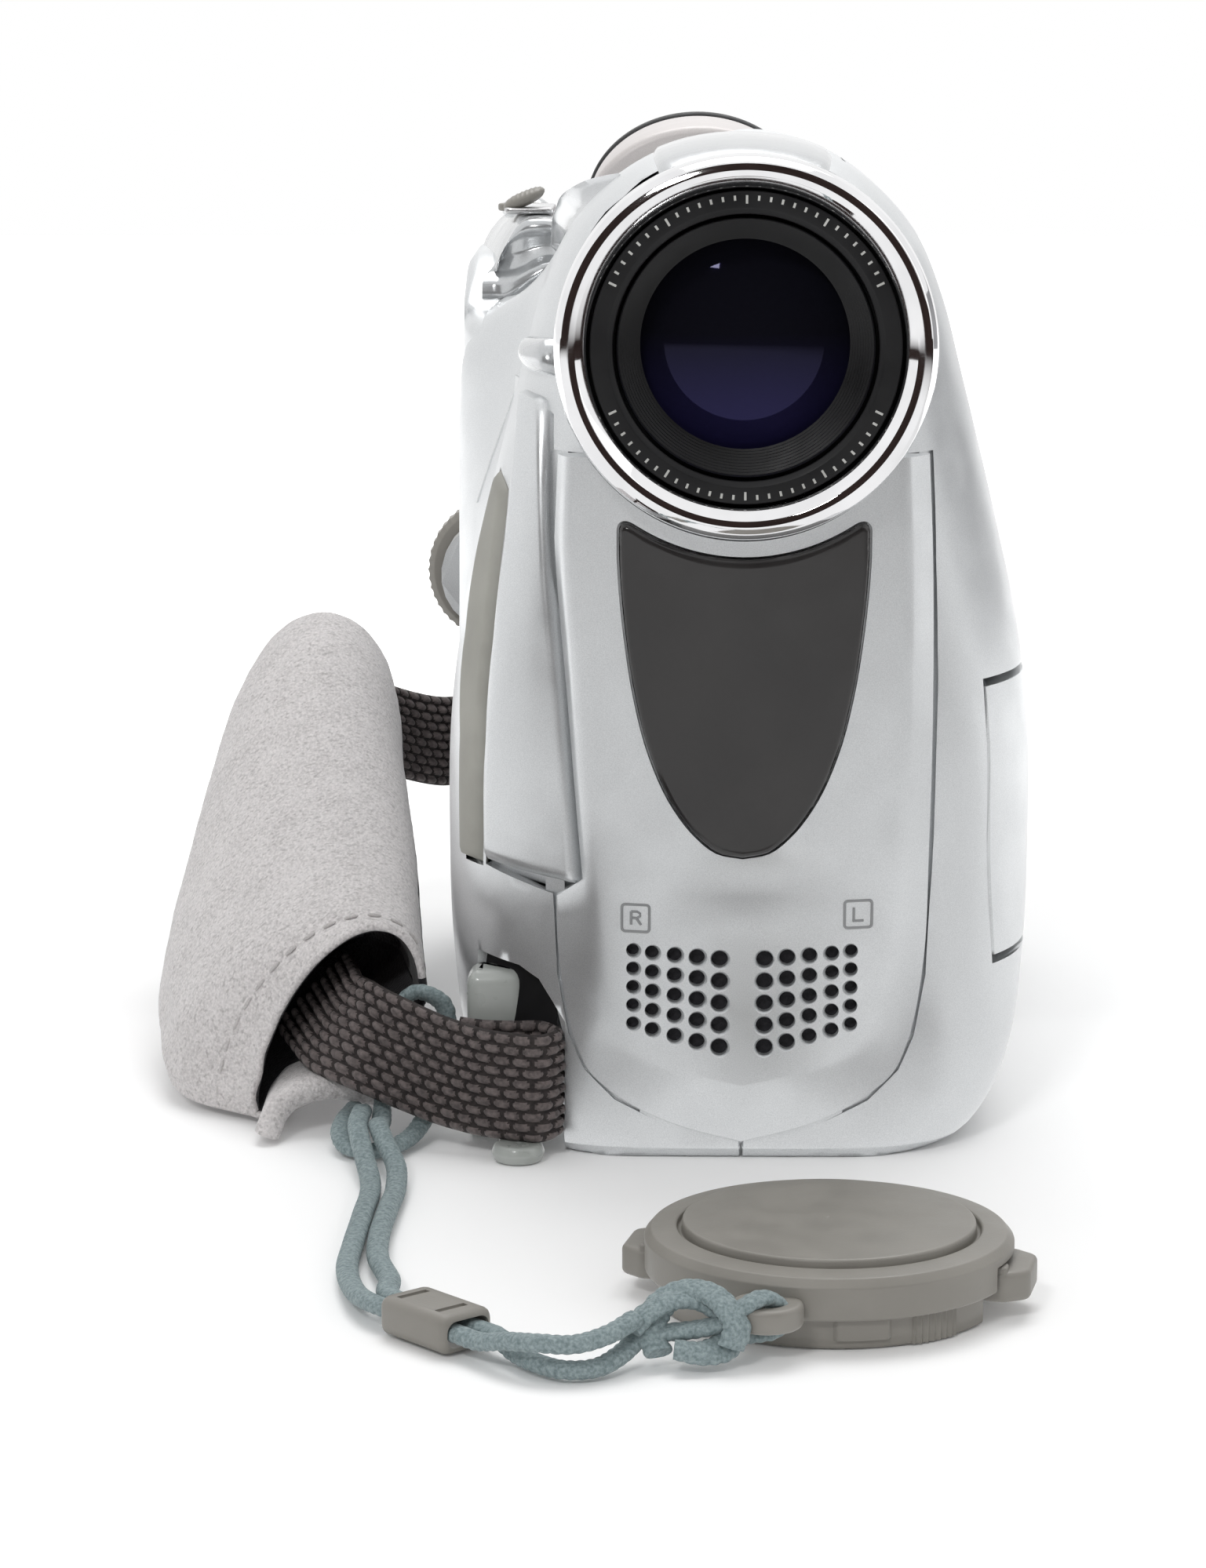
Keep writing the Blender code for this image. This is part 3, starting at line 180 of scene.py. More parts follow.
def lofted(name, rings, looks, closed=True, caps=True, sharp=40, tag=None):
    """A surface through rings of equal counts, in millimetres, closed at both ends or only the first.

    tag(level, i) picks a face's material.
    """
    count = len(rings[0])
    vertices = [Vector(p) * MM for ring in rings for p in ring]
    faces, tags = [], []
    for level in range(len(rings) - 1):
        for i in range(count if closed else count - 1):
            j = (i + 1) % count
            low, high = level * count, (level + 1) * count
            faces.append((low + i, low + j, high + j, high + i))
            tags.append(tag(level, i) if tag else 0)
    last = (len(rings) - 1) * count
    ends = [tuple(range(count)), tuple(last + i for i in range(count))]
    for end in ends[:1] if caps == "first" else ends if caps else []:
        faces.append(end)
        tags.append(tag(0, 0) if tag else 0)
    return add_mesh(name, vertices, faces, looks, sharp, tags)


def place(axis, u, v, along):
    """A point from its two places across an axis and the one along it."""
    return {"X": (along, u, v), "Y": (u, along, v), "Z": (u, v, along)}[axis]


def turned(name, profile, centre, look, axis="Y", segments=128, sharp=30):
    """A closed profile of (radius, along) points in millimetres turned about an axis through centre."""
    rings = [[place(axis, centre[0] + r * c, centre[1] + r * s, along) for r, along in profile]
             for c, s in circle(segments)]
    return lofted(name, rings + rings[:1], look, caps=False, sharp=sharp)


def prism(name, outline, axis, start, end, look, edge=0.0):
    """An outline pulled along an axis, in millimetres, with its end edges rounded inwards by edge."""
    steps = [(0.0, 0.0)]
    if edge:
        steps = [(edge * (1 - math.sin(t)), edge * (1 - math.cos(t))) for t in np.linspace(0, math.pi / 2, 5)]
    way = math.copysign(1, end - start)
    levels = [(inset, start + way * depth) for inset, depth in steps]
    levels += [(inset, end - way * depth) for inset, depth in reversed(steps)]
    rings = [[place(axis, u, v, along) for u, v in shrunk(outline, inset)] for inset, along in levels]
    return lofted(name, rings, look)


def shrunk(outline, amount):
    """An outline with each point moved inwards across the run of its neighbours."""
    p = np.array(outline, float)
    run = np.roll(p, -1, 0) - np.roll(p, 1, 0)
    run /= np.linalg.norm(run, axis=1)[:, None] + 1e-12
    area = float(np.sum(p[:, 0] * np.roll(p[:, 1], -1) - np.roll(p[:, 0], -1) * p[:, 1]))
    inward = np.stack([-run[:, 1], run[:, 0]], axis=1) * math.copysign(1, area)
    return p + inward * amount


def cut(target, *tools):
    """Takes the tools out of the target for good."""
    for tool in tools:
        modifier = target.modifiers.new("Cut", "BOOLEAN")
        modifier.operation, modifier.solver, modifier.object = "DIFFERENCE", "EXACT", tool
        bpy.context.view_layer.update()
        mesh = bpy.data.meshes.new_from_object(target.evaluated_get(bpy.context.evaluated_depsgraph_get()))
        target.modifiers.clear()
        mesh.set_sharp_from_angle(angle=math.radians(CUT_SHARP))
        target.data = mesh
        bpy.data.objects.remove(tool, do_unlink=True)
    return target


def mount(item, *nodes, body="body", slot="silver_paint"):
    """Puts a piece on its body, in the place of the CAD nodes that it stands for."""
    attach(item, body)
    if nodes:
        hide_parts(*nodes)
    return item


def joined(name, parts):
    """Several meshes as one object, with their materials merged."""
    looks = []
    work = bmesh.new()
    for part in parts:
        first = len(work.faces)
        own = list(part.data.materials)
        work.from_mesh(part.data)
        work.faces.ensure_lookup_table()
        for face in work.faces[first:]:
            look = own[face.material_index]
            if look not in looks:
                looks.append(look)
            face.material_index = looks.index(look)
        bpy.data.objects.remove(part, do_unlink=True)
    return from_bmesh(name, work, looks)


def node_bmesh(node):
    """A CAD node's mesh for editing, with its doubled points welded."""
    work = bmesh.new()
    work.from_mesh(frame["nodes"][node].data)
    bmesh.ops.remove_doubles(work, verts=work.verts, dist=WELD)
    return work


def round_edges(work, edges, width, material=0):
    bmesh.ops.bevel(work, geom=edges, offset=width * MM, segments=3, profile=0.5, affect="EDGES",
                    clamp_overlap=True, material=material)


# Materials

class Look:
    """A Principled material with its detail from procedural textures in the part's own frame."""

    def __init__(self, name, **sockets):
        self.material = bpy.data.materials.new(name)
        self.material.use_nodes = True
        self.tree = self.material.node_tree
        self.shader = self.tree.nodes["Principled BSDF"]
        for socket, value in sockets.items():
            self.shader.inputs[socket.replace("_", " ")].default_value = value
        self.where = self.tree.nodes.new("ShaderNodeTexCoord").outputs["Object"]
        self.normal = None

    def node(self, kind, links, **settings):
        """A new node with its inputs linked or set."""
        made = self.tree.nodes.new(kind)
        for key, value in settings.items():
            setattr(made, key, value)
        for socket, value in links.items():
            if isinstance(value, bpy.types.NodeSocket):
                self.tree.links.new(value, made.inputs[socket])
            else:
                made.inputs[socket].default_value = value
        return made

    def stretched(self, scale):
        return self.node("ShaderNodeMapping", {"Vector": self.where, "Scale": scale}).outputs["Vector"]

    def noise(self, size, detail=2.0, vector=None):
        """Noise with features of about the given size in millimetres."""
        links = {"Vector": vector or self.where, "Scale": 1 / (size * MM), "Detail": detail}
        return self.node("ShaderNodeTexNoise", links).outputs["Fac"]

    def spread(self, value, low, high, to_low=0.0, to_high=1.0):
        """A value's range between low and high brought to another range."""
        links = {"Value": value, "From Min": low, "From Max": high, "To Min": to_low, "To Max": to_high}
        return self.node("ShaderNodeMapRange", links).outputs["Result"]

    def blended(self, share, first, second):
        """A mix of two colours; 6, 7 and 2 are the mix node's colour sockets."""
        pair = [c if isinstance(c, bpy.types.NodeSocket) else (*c, 1) for c in (first, second)]
        return self.node("ShaderNodeMix", {0: share, 6: pair[0], 7: pair[1]}, data_type="RGBA").outputs[2]

    def set(self, socket, value):
        self.tree.links.new(value, self.shader.inputs[socket])
        return self

    def bump(self, height, depth):
        """Adds relief of the given depth in millimetres."""
        links = {"Height": height, "Distance": depth * MM, "Strength": 1.0}
        if self.normal:
            links["Normal"] = self.normal
        self.normal = self.node("ShaderNodeBump", links).outputs["Normal"]
        return self.set("Normal", self.normal)


def painted(name, dark, light, roughness, flake=0.09, **sockets):
    """Sprayed paint with fine flakes, a little orange peel and soft handling marks."""
    look = Look(name, **sockets)
    grain = look.spread(look.noise(flake, 1.0), 0.3, 0.7)
    cloud = look.spread(look.noise(9.0, 3.0), 0.35, 0.65)
    mixed = look.blended(grain, dark, light)
    look.set("Base Color", look.blended(look.spread(cloud, 0, 1, 0.0, 0.12), mixed, dark))
    look.set("Roughness", look.spread(look.noise(4.0, 4.0), 0.3, 0.7, roughness - 0.05, roughness + 0.06))
    look.bump(look.noise(0.35, 1.0), 0.0035)
    return look.material


def moulded(name, dark, light, roughness, grain=0.25, depth=0.012, **sockets):
    """Moulded plastic or rubber with a fine spark-eroded grain and rubbed, shinier patches."""
    look = Look(name, **sockets)
    tint = look.spread(look.noise(6.0, 5.0), 0.35, 0.65)
    look.set("Base Color", look.blended(tint, dark, light))
    look.set("Roughness", look.spread(look.noise(3.0, 3.0), 0.3, 0.7, roughness - 0.07, roughness + 0.08))
    look.bump(look.noise(grain, 2.0), depth)
    return look.material


def brushed(name, dark, light, roughness, **sockets):
    """Bare or plated metal with fine wiping marks."""
    look = Look(name, Metallic=1.0, **sockets)
    marks = look.noise(0.6, 3.0, look.stretched((1.0, 1.0, 9.0)))
    look.set("Base Color", look.blended(look.spread(look.noise(5.0, 3.0), 0.35, 0.65), dark, light))
    look.set("Roughness", look.spread(marks, 0.3, 0.7, roughness * 0.7, roughness * 1.4))
    return look.material


SILVER = painted("silver_paint", (0.605, 0.62, 0.63), (0.735, 0.75, 0.76), 0.34, Metallic=0.72, Coat_Weight=0.12,
                 Coat_Roughness=0.2)
GLOSS_SILVER = painted("silver_gloss", (0.50, 0.515, 0.525), (0.60, 0.615, 0.625), 0.2, Metallic=0.55,
                       Coat_Weight=0.5, Coat_Roughness=0.06)
FINDER_GREY = painted("finder_grey", (0.62, 0.585, 0.575), (0.70, 0.665, 0.655), 0.45, Metallic=0.1)
CHROME = brushed("chrome", (0.80, 0.80, 0.81), (0.88, 0.88, 0.89), 0.05)
STEEL = brushed("steel", (0.50, 0.50, 0.51), (0.66, 0.66, 0.66), 0.32)
BLACK = moulded("black_plastic", (0.006, 0.006, 0.007), (0.011, 0.011, 0.012), 0.45, 0.15, 0.004,
                Specular_IOR_Level=0.3)
NAMEPLATE_GREY = moulded("nameplate_gloss", (0.022, 0.0205, 0.0205), (0.028, 0.0262, 0.0258), 0.17, 0.4, 0.001,
                         Specular_IOR_Level=0.35, Coat_Weight=0.25, Coat_Roughness=0.05)
GREY = moulded("grey_plastic", (0.228, 0.216, 0.193), (0.256, 0.243, 0.218), 0.45)
RUBBER = moulded("grip_rubber", (0.30, 0.295, 0.265), (0.365, 0.36, 0.325), 0.6, 0.2, 0.015)
EYECUP_RUBBER = moulded("eyecup_rubber", (0.020, 0.020, 0.021), (0.032, 0.032, 0.033), 0.65, 0.3, 0.02)
BOARD = moulded("circuit_board", (0.012, 0.11, 0.04), (0.03, 0.19, 0.07), 0.5, 0.6, 0.02)
SCREEN = moulded("lcd_glass", (0.008, 0.009, 0.012), (0.014, 0.015, 0.019), 0.08, 2.0, 0.0005, Coat_Weight=1.0,
                 Coat_Roughness=0.02)
MARKING = moulded("marking_grey", (0.42, 0.42, 0.40), (0.52, 0.52, 0.50), 0.5, 0.2, 0.003)
# painted shade: the raised marks are the panel's silver, and this grey stands in for the shade along their sides
MARK_SHADE_GREY = moulded("mark_shade_grey", (0.22, 0.225, 0.23), (0.27, 0.275, 0.28), 0.45, 0.2, 0.003)


def coated_glass():
    """Dark lens glass whose coating throws back blue and violet, more towards the bottom; below the middle a violet is
    also painted into the base colour as a painted reflection.
    """
    look = Look("coated_glass", Roughness=0.05, IOR=1.6, Coat_Weight=0.14, Coat_Roughness=0.02)
    look.shader.inputs["Specular Tint"].default_value = (0.10, 0.09, 0.36, 1)
    height = look.node("ShaderNodeSeparateXYZ", {0: look.where}).outputs["Z"]
    top = (LENS_HEIGHT + 1) * MM
    low = look.spread(height, top, (LENS_HEIGHT - 10) * MM)
    look.set("Specular IOR Level", look.spread(height, top, (LENS_HEIGHT - 9) * MM, 0.14, 0.95))
    # painted reflection: the violet that the coating throws back from the floor is put into the base colour, fading in
    # below the middle
    tint = look.blended(look.noise(7.0, 2.0), (0.010, 0.009, 0.036), (0.014, 0.011, 0.048))
    look.set("Base Color", look.blended(low, (0.005, 0.005, 0.008), tint))
    return look.material


GLASS = coated_glass()


def suede():
    """Brushed suede: faint blotches where the nap lies another way, and short fibres."""
    look = Look("suede", Roughness=0.95, Sheen_Weight=0.3, Sheen_Roughness=0.4)
    patches = look.spread(look.noise(4.5, 5.0), 0.36, 0.70)
    fibres = look.spread(look.noise(0.26, 3.0, look.stretched((1.0, 0.5, 1.0))), 0.32, 0.68)
    base = look.blended(patches, (0.54, 0.517, 0.517), (0.45, 0.429, 0.429))
    specks = look.spread(look.noise(0.5, 2.0), 0.54, 0.70, 0.0, 0.7)
    worn = look.blended(look.spread(fibres, 0, 1, 0.0, 0.7), base, (0.78, 0.75, 0.743))
    look.set("Base Color", look.blended(specks, worn, (0.33, 0.312, 0.312)))
    look.bump(look.noise(0.3, 4.0, look.stretched((1.0, 0.5, 1.0))), 0.14)
    look.bump(look.noise(1.1, 3.0), 0.07)
    return look.material


def fibrous(name, dark, light, size, depth, **sockets):
    """Thread or felt: fibres of two shades with a matt sheen."""
    look = Look(name, **{"Roughness": 0.85, **sockets})
    fibres = look.spread(look.noise(size, 4.0), 0.32, 0.68)
    look.set("Base Color", look.blended(fibres, dark, light))
    look.bump(look.noise(size * 0.5, 3.0), depth)
    return look.material


SUEDE = suede()
FELT = fibrous("black_felt", (0.004, 0.004, 0.006), (0.016, 0.015, 0.019), 0.5, 0.12, Sheen_Weight=0.15)
WEBBING = fibrous("webbing", (0.060, 0.048, 0.047), (0.150, 0.122, 0.117), 0.5, 0.03, Sheen_Weight=0.1,
                  Specular_IOR_Level=0.7)
# painted shade: a darker copy of the webbing for the gaps between the knobs, where shade falls
WEBBING_GAP_SHADE = fibrous("webbing_gap_shade", (0.018, 0.014, 0.014), (0.042, 0.034, 0.032), 0.5, 0.03)
CORD = fibrous("lanyard_cord", (0.145, 0.195, 0.203), (0.300, 0.365, 0.375), 0.3, 0.03, Sheen_Weight=0.1)


# Lanyard: the same route as the solids

CORD_WIDTH, CORD_THICKNESS = 1.9, 1.5
CORD_STEP = 0.13
STITCH_LENGTH, STITCH_SLANT, STITCH_BASE, STITCH_SWELL = 0.85, 0.9, 0.93, 0.1
GROOVE_DEPTH, GROOVE_WIDTH = 0.12, 0.16
FLAT_PULL = 0.05  # how fast a twisted braid turns back to lying flat
SLIDER_CENTRE = (-25.75, -114.0, 1.85)
SLIDER_TURN = math.radians(-48)
SLIDER_HALF, SLIDER_BORE, SLIDER_GROOVES = (4.2, 2.65, 1.65), (2.15, 1.1), (-2.6, 2.3)
STRAND_OFFSET = 1.05


def slider_pass(across):
    """A strand's route through the slider, beside its middle."""
    c, s = math.cos(SLIDER_TURN), math.sin(SLIDER_TURN)
    x, y, z = SLIDER_CENTRE
    return [(x + a * c - across * s, y + a * s + across * c, z) for a in (-6.4, -4.6, 0.0, 4.6, 6.4)]


HITCH = [
    (-37.0, -47.6, 2.2), (-37.8, -52.0, 1.9), (-37.8, -55.2, 1.5), (-36.9, -57.6, 1.0), (-35.2, -58.8, 1.0),
    (-33.6, -58.4, 1.0), (-32.2, -56.6, 1.1), (-30.9, -53.6, 1.4), (-29.4, -49.6, 3.6), (-28.2, -47.6, 8.6),
    (-28.6, -47.2, 12.6), (-31.0, -47.2, 13.6), (-33.2, -47.3, 11.4), (-34.0, -47.8, 7.4), (-34.2, -49.6, 3.4)]
STRAND_RIGHT = [
    (-34.1, -52.8, 2.3), (-34.0, -58.2, 3.1), (-33.3, -61.0, 2.5), (-32.0, -65.4, 1.5), (-31.6, -71.0, 1.0),
    (-31.9, -79.4, 1.0), (-32.1, -87.6, 1.0), (-31.8, -93.4, 1.0), (-30.4, -100.4, 1.2),
    *slider_pass(STRAND_OFFSET), (-19.0, -120.2, 1.1), (-17.2, -122.6, 1.0), (-15.0, -124.2, 1.0),
    (-12.8, -123.8, 1.0), (-10.8, -121.8, 1.4), (-9.4, -120.0, 2.2)]
STRAND_LEFT = [
    (-36.0, -51.6, 3.0), (-36.0, -57.8, 3.1), (-35.0, -63.8, 1.9), (-34.0, -70.0, 1.0), (-34.0, -80.4, 1.0),
    (-34.2, -89.9, 1.0), (-34.2, -96.8, 1.0), (-33.3, -103.0, 1.2), (-32.2, -107.2, 1.6),
    *slider_pass(-STRAND_OFFSET), (-19.6, -122.2, 2.7), (-17.2, -123.9, 3.1), (-14.4, -124.2, 3.1),
    (-11.6, -122.8, 3.5), (-9.5, -120.9, 4.2)]


def braid_rings(line, width, thickness, segments=22):
    """Rings of a flat braid along a line: rows of slanted stitches that meet in a groove down the middle."""
    run = directions(line)
    up = np.array([0.0, 0.0, 1.0])
    side = np.cross(run[0], up)
    rings = []
    for i, (middle, ahead) in enumerate(zip(line, run)):
        flat = np.cross(ahead, up)
        side = side + FLAT_PULL * np.sign(flat @ side or 1.0) * flat
        side -= ahead * (side @ ahead)
        side /= np.linalg.norm(side)
        lift = np.cross(side, ahead)
        ring = []
        for across, over in circle(segments):
            stitch = abs(math.sin(math.pi * (i * CORD_STEP / STITCH_LENGTH - abs(across) * STITCH_SLANT)))
            swell = STITCH_BASE + STITCH_SWELL * stitch - GROOVE_DEPTH * math.exp(-(across / GROOVE_WIDTH) ** 2)
            ring.append(middle + (side * across * width + lift * over * thickness) * swell / 2)
        rings.append(ring)
    return rings


def make_strand(name, route, node):
    line = resampled(spline(route, 16), CORD_STEP)
    strand = lofted(name, braid_rings(line, CORD_WIDTH, CORD_THICKNESS), CORD, sharp=180)
    mount(strand, node, slot="lanyard_cord")
    return strand, line * MM


def make_cords():
    left, left_line = make_strand("lanyard_left", STRAND_LEFT, "lanyard_strand_left")
    right, right_line = make_strand("lanyard_right", HITCH + STRAND_RIGHT, "lanyard_strand_right")
    for strand, line, pieces in ((left, left_line, []), (right, right_line, [make_slider(), make_knot()])):
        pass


def make_slider():
    """The cord lock: a rounded block with an oval bore and two grooves across its top."""
    length, width, height = SLIDER_HALF
    outline = rounded_box_outline((0, 0), (width, height), 1.1, 8)
    block = prism("cord_lock", outline, "X", -length, length, GREY, 0.7)
    for along in SLIDER_GROOVES:
        groove = rounded_box_outline((along, height + 0.1), (0.32, 0.42), 0.2, 3)
        cut(block, prism("groove", groove, "Y", -1.7, 1.3, GREY))
    bore = rounded_box_outline((0, 0), SLIDER_BORE, 1.05, 8)
    cut(block, prism("bore", bore, "X", -2 * length, 2 * length, GREY))
    block.data.transform(Matrix.Translation(Vector(SLIDER_CENTRE) * MM) @ Matrix.Rotation(SLIDER_TURN, 4, "Z"))
    block.data.shade_smooth()
    block.data.set_sharp_from_angle(angle=math.radians(40))
    return mount(block, "cord_slider", slot="grey_plastic")


KNOT_BANDS = (
    [(-9.9, -120.6, 3.2), (-8.6, -119.6, 4.2), (-6.6, -118.6, 5.0), (-4.2, -118.2, 4.7), (-2.4, -118.8, 3.4),
     (-2.2, -120.4, 2.0), (-4.0, -121.6, 1.6), (-6.4, -121.6, 1.9)],
    [(-7.6, -121.4, 1.5), (-8.2, -120.2, 2.6), (-7.6, -118.4, 4.4), (-5.8, -117.6, 5.4), (-3.8, -118.4, 5.6),
     (-2.2, -120.0, 4.8), (-1.4, -121.2, 3.4), (-1.9, -121.4, 2.0)],
    [(-9.6, -120.0, 2.2), (-7.4, -119.6, 2.6), (-4.8, -119.6, 2.9), (-2.4, -119.8, 3.6), (-0.6, -119.4, 4.9),
     (0.9, -118.4, 5.2), (1.9, -117.6, 4.2), (1.6, -117.4, 2.6), (0.2, -117.8, 2.2), (-2.4, -118.4, 2.2)],
)


def make_knot():
    """The hitch on the cap's eyelet: both strands wrapped by a crossing band and looped through the eye."""
    lines = [resampled(spline(route, 12), CORD_STEP) for route in KNOT_BANDS]
    parts = [lofted("band", braid_rings(line, 2.5, 1.35, 18), CORD, sharp=180) for line in lines]
    return mount(joined("lanyard_hitch", parts), "lanyard_knot", slot="lanyard_cord")


make_cords()


# Body skin: the same outlines as the solids, made smooth

NOSE_TIP, NOSE_START, BODY_REAR = -57.5, -32.0, 50.0
EGG = [
    (0, 0), (19.5, 0), (22.4, 0.9), (25.0, 3.8), (26.9, 8.5), (28.0, 16), (28.4, 27), (28.2, 38), (27.0, 48),
    (25.0, 57), (22.8, 66), (21.0, 73), (19.4, 79), (16.6, 85.5), (12.2, 90.3), (6.4, 93.4), (0, 94.3)]
EGG_REAR = EGG[:10] + [(22.8, 65), (20.8, 71.5), (18.2, 77), (14.8, 81.6), (10.8, 85.5), (5.8, 88.9), (0, 90)]
BOX_REAR = EGG[:7] + [(28.5, 38), (28.5, 48), (28.5, 57), (28.4, 66), (27.6, 72.5), (24.6, 76.4),
                      (19.5, 78), (14, 84), (8.5, 88.4), (0, 90)]
SKIN_DEPTHS = np.concatenate([np.linspace(*span) for span in (
    (-57.499, -57.25, 10), (-57.2, -52, 18), (-51.4, -40, 20), (-39, BODY_REAR, 64))])
SOLID_DEPTHS = (-57.2, -56.2, -54, -51, -47, -42, -37, -31, -24, -16, -10, -4, 4, 15, 26, 44.2, 47, 50)
GRIP_BLEND, LCD_BLEND = (-25, -7), (-10, 26)  # depths between which each side goes from egg to rear outline
END_TAPER, END_START, END_SINK = 0.09, 43, 0.5
ON_SURFACE = 0.05  # how close to the solid's skin a face has to be to belong to it
FOOT_RADIUS = 1.2
ANCHOR_LIMIT = -31.0  # the strap anchor of the grip-side case ends here
WALL_AREA = 3.0  # flat inner faces above this area, in square millimetres, keep flat normals
SKIN_EDGE = 1.4  # longest edge on the smooth skin
POD_SPAN_X, POD_SPAN_Y, POD_FLOOR, POD_STANDOFF = (-28.2, -17.4), (-1.6, 31.6), 75.4, 0.25
SHELLS = (
    # node, body, rim radius
    ("grip_side_case", "body", 0.35), ("lcd_side_case", "body", 0.35), ("top_cover", "body", 0.3),
    ("base_plate", "body", 0.3), ("rear_cover", "body", 0.5), ("cassette_cover", "tape_door", 0.35),
    ("lcd_cover", "lcd_panel", 0.6), ("lcd_hinge_block", "lcd_panel", 0.5))


def smoothstep(value, low, high):
    """0 below low, 1 above high, and a smooth rise between."""
    share = min(1.0, max(0.0, (value - low) / (high - low)))
    return share * share * (3.0 - 2.0 * share)


def nose_power(height):
    """How square the nose is in plan: more so near the floor."""
    return 2.2 + 2.0 * max(0.0, 1.0 - height / 25) ** 2


def nose_share(y, height):
    """Share of the full width at depth y."""
    if y >= NOSE_START:
        return 1.0
    reach = min(1.0, (NOSE_START - y) / (NOSE_START - NOSE_TIP))
    power = nose_power(height)
    return (1.0 - reach ** power) ** (1.0 / power)


def nose_depth(x, height):
    """Depth of the nose surface at a place seen from the front."""
    full = np.interp(height, [z for _, z in EGG[1:]], [w for w, _ in EGG[1:]])
    power = nose_power(height)
    share = min(0.999, abs(x) / full)
    return NOSE_START - (NOSE_START - NOSE_TIP) * (1.0 - share ** power) ** (1.0 / power)


def side_points(y, grip):
    """One half of the body's outline at depth y, from the floor to the crown."""
    rear_share = smoothstep(y, *(GRIP_BLEND if grip else LCD_BLEND))
    end_share = smoothstep(y, END_START, BODY_REAR + 2) * END_TAPER
    points = []
    for front, rear in zip(np.array(EGG, float), np.array(BOX_REAR if grip else EGG_REAR, float)):
        width, height = (front + (rear - front) * rear_share).tolist()
        share = nose_share(y, height)
        z = min(height, LENS_HEIGHT) + max(0.0, height - LENS_HEIGHT) * share
        z -= max(0.0, z - 8.0) * end_share * END_SINK
        points.append((width * share * (1 - end_share), z))
    return points


def body_ring(y):
    """The whole outline of the body at depth y."""
    left = [(-x, z) for x, z in side_points(y, True)]
    return side_points(y, False) + left[-2:0:-1]


def foot_round(distance):
    """How far the lower front edge is rounded off, at a distance from it along either face."""
    short = min(1.0, max(0.0, 1 - distance / FOOT_RADIUS))
    return FOOT_RADIUS * (1 - math.sqrt(1 - short ** 2))


def ring_quads(levels, count):
    return [(a * count + i, a * count + (i + 1) % count, (a + 1) * count + (i + 1) % count, (a + 1) * count + i)
            for a in range(levels - 1) for i in range(count)]


def solid_facets():
    """The flat faces of the solid with both diagonals of each quad, to tell which faces lie on it."""
    rings = [body_ring(y) for y in SOLID_DEPTHS]
    count = len(rings[0])
    points = [(x * MM, y * MM, z * MM) for y, ring in zip(SOLID_DEPTHS, rings) for x, z in ring]
    halves = ((0, 1, 2), (0, 2, 3), (0, 1, 3), (1, 2, 3))
    faces = [tuple(q[k] for k in half) for q in ring_quads(len(SOLID_DEPTHS), count) for half in halves]
    faces += [(i, i + 1, count - 1 - i) for i in range(count // 2)]
    faces += [(i + 1, count - 1 - i, count - 2 - i) for i in range(count // 2 - 1)]
    return BVHTree.FromPolygons(points, faces)


class Skin:
    """The smooth body surface, for placing points and normals on it."""

    def __init__(self):
        rings = [spline(body_ring(y), 5, closed=True) for y in SKIN_DEPTHS]
        points = MM * np.array([[(x, y, max(foot_round(y - NOSE_TIP), z)) for x, z in ring]
                                for y, ring in zip(SKIN_DEPTHS, rings)])
        across = np.roll(points, -1, 1) - np.roll(points, 1, 1)
        normals = np.cross(np.gradient(points, axis=0), across).reshape(-1, 3)
        self.normals = normals / (np.linalg.norm(normals, axis=1)[:, None] + 1e-15)
        self.points = points.reshape(-1, 3)
        self.faces = [t for q in ring_quads(*points.shape[:2]) for t in ((q[0], q[1], q[2]), (q[0], q[2], q[3]))]
        self.tree = BVHTree.FromPolygons(self.points.tolist(), self.faces)
        self.solid = solid_facets()

    def at(self, point):
        """The nearest place on the skin and the smooth normal there."""
        spot, _, index, _ = self.tree.find_nearest(point)
        corners = self.faces[index]
        weights = poly_3d_calc([Vector(self.points[c]) for c in corners], spot)
        normal = Vector(sum(w * self.normals[c] for w, c in zip(weights, corners)))
        return spot, normal.normalized()

    def carries(self, face):
        """Whether a face of a CAD shell belongs to the outside of the body."""
        _, normal, _, far = self.solid.find_nearest(face.calc_center_median())
        return far < ON_SURFACE * MM and abs(normal.dot(face.normal)) > 0.7


def refined(node, rim, drop=None):
    """A CAD shell again with its outer faces fine enough to lie on the smooth skin, and its rims rounded."""
    work = node_bmesh(node)
    if drop:
        bmesh.ops.delete(work, geom=[f for f in work.faces if drop(f.calc_center_median() / MM)], context="FACES")
    for face in work.faces:
        face.material_index = int(SKIN.carries(face))
    for _ in range(7):
        long = [e for e in work.edges
                if e.calc_length() > SKIN_EDGE * MM and any(f.material_index for f in e.link_faces)]
        if not long:
            break
        bmesh.ops.subdivide_edges(work, edges=long, cuts=1)
        bmesh.ops.triangulate(work, faces=[f for f in work.faces if len(f.verts) > 3])
    for v in work.verts:
        if any(f.material_index for f in v.link_faces):
            v.co = SKIN.at(v.co)[0]
        if node == "grip_side_case":
            v.co.x = max(v.co.x, ANCHOR_LIMIT * MM)
    work.normal_update()
    rims = [e for e in work.edges if len(e.link_faces) == 2
            and sum(f.material_index for f in e.link_faces) == 1 and e.calc_face_angle(0) > math.radians(35)]
    round_edges(work, rims, rim, material=2)
    item = from_bmesh(node + "_shell", work, SILVER)
    mesh = item.data
    on_skin = {v for p in mesh.polygons if p.material_index == 1 for v in p.vertices}
    smooth = {v: SKIN.at(mesh.vertices[v].co)[1] for v in on_skin}
    normals = [n.vector.copy() for n in mesh.corner_normals]
    for polygon in mesh.polygons:
        for corner in polygon.loop_indices:
            if polygon.material_index:
                normals[corner] = smooth.get(mesh.loops[corner].vertex_index, normals[corner])
            elif polygon.area > WALL_AREA * MM * MM:
                normals[corner] = polygon.normal.copy()
        polygon.material_index = 0
    mesh.normals_split_custom_set(normals)
    return item


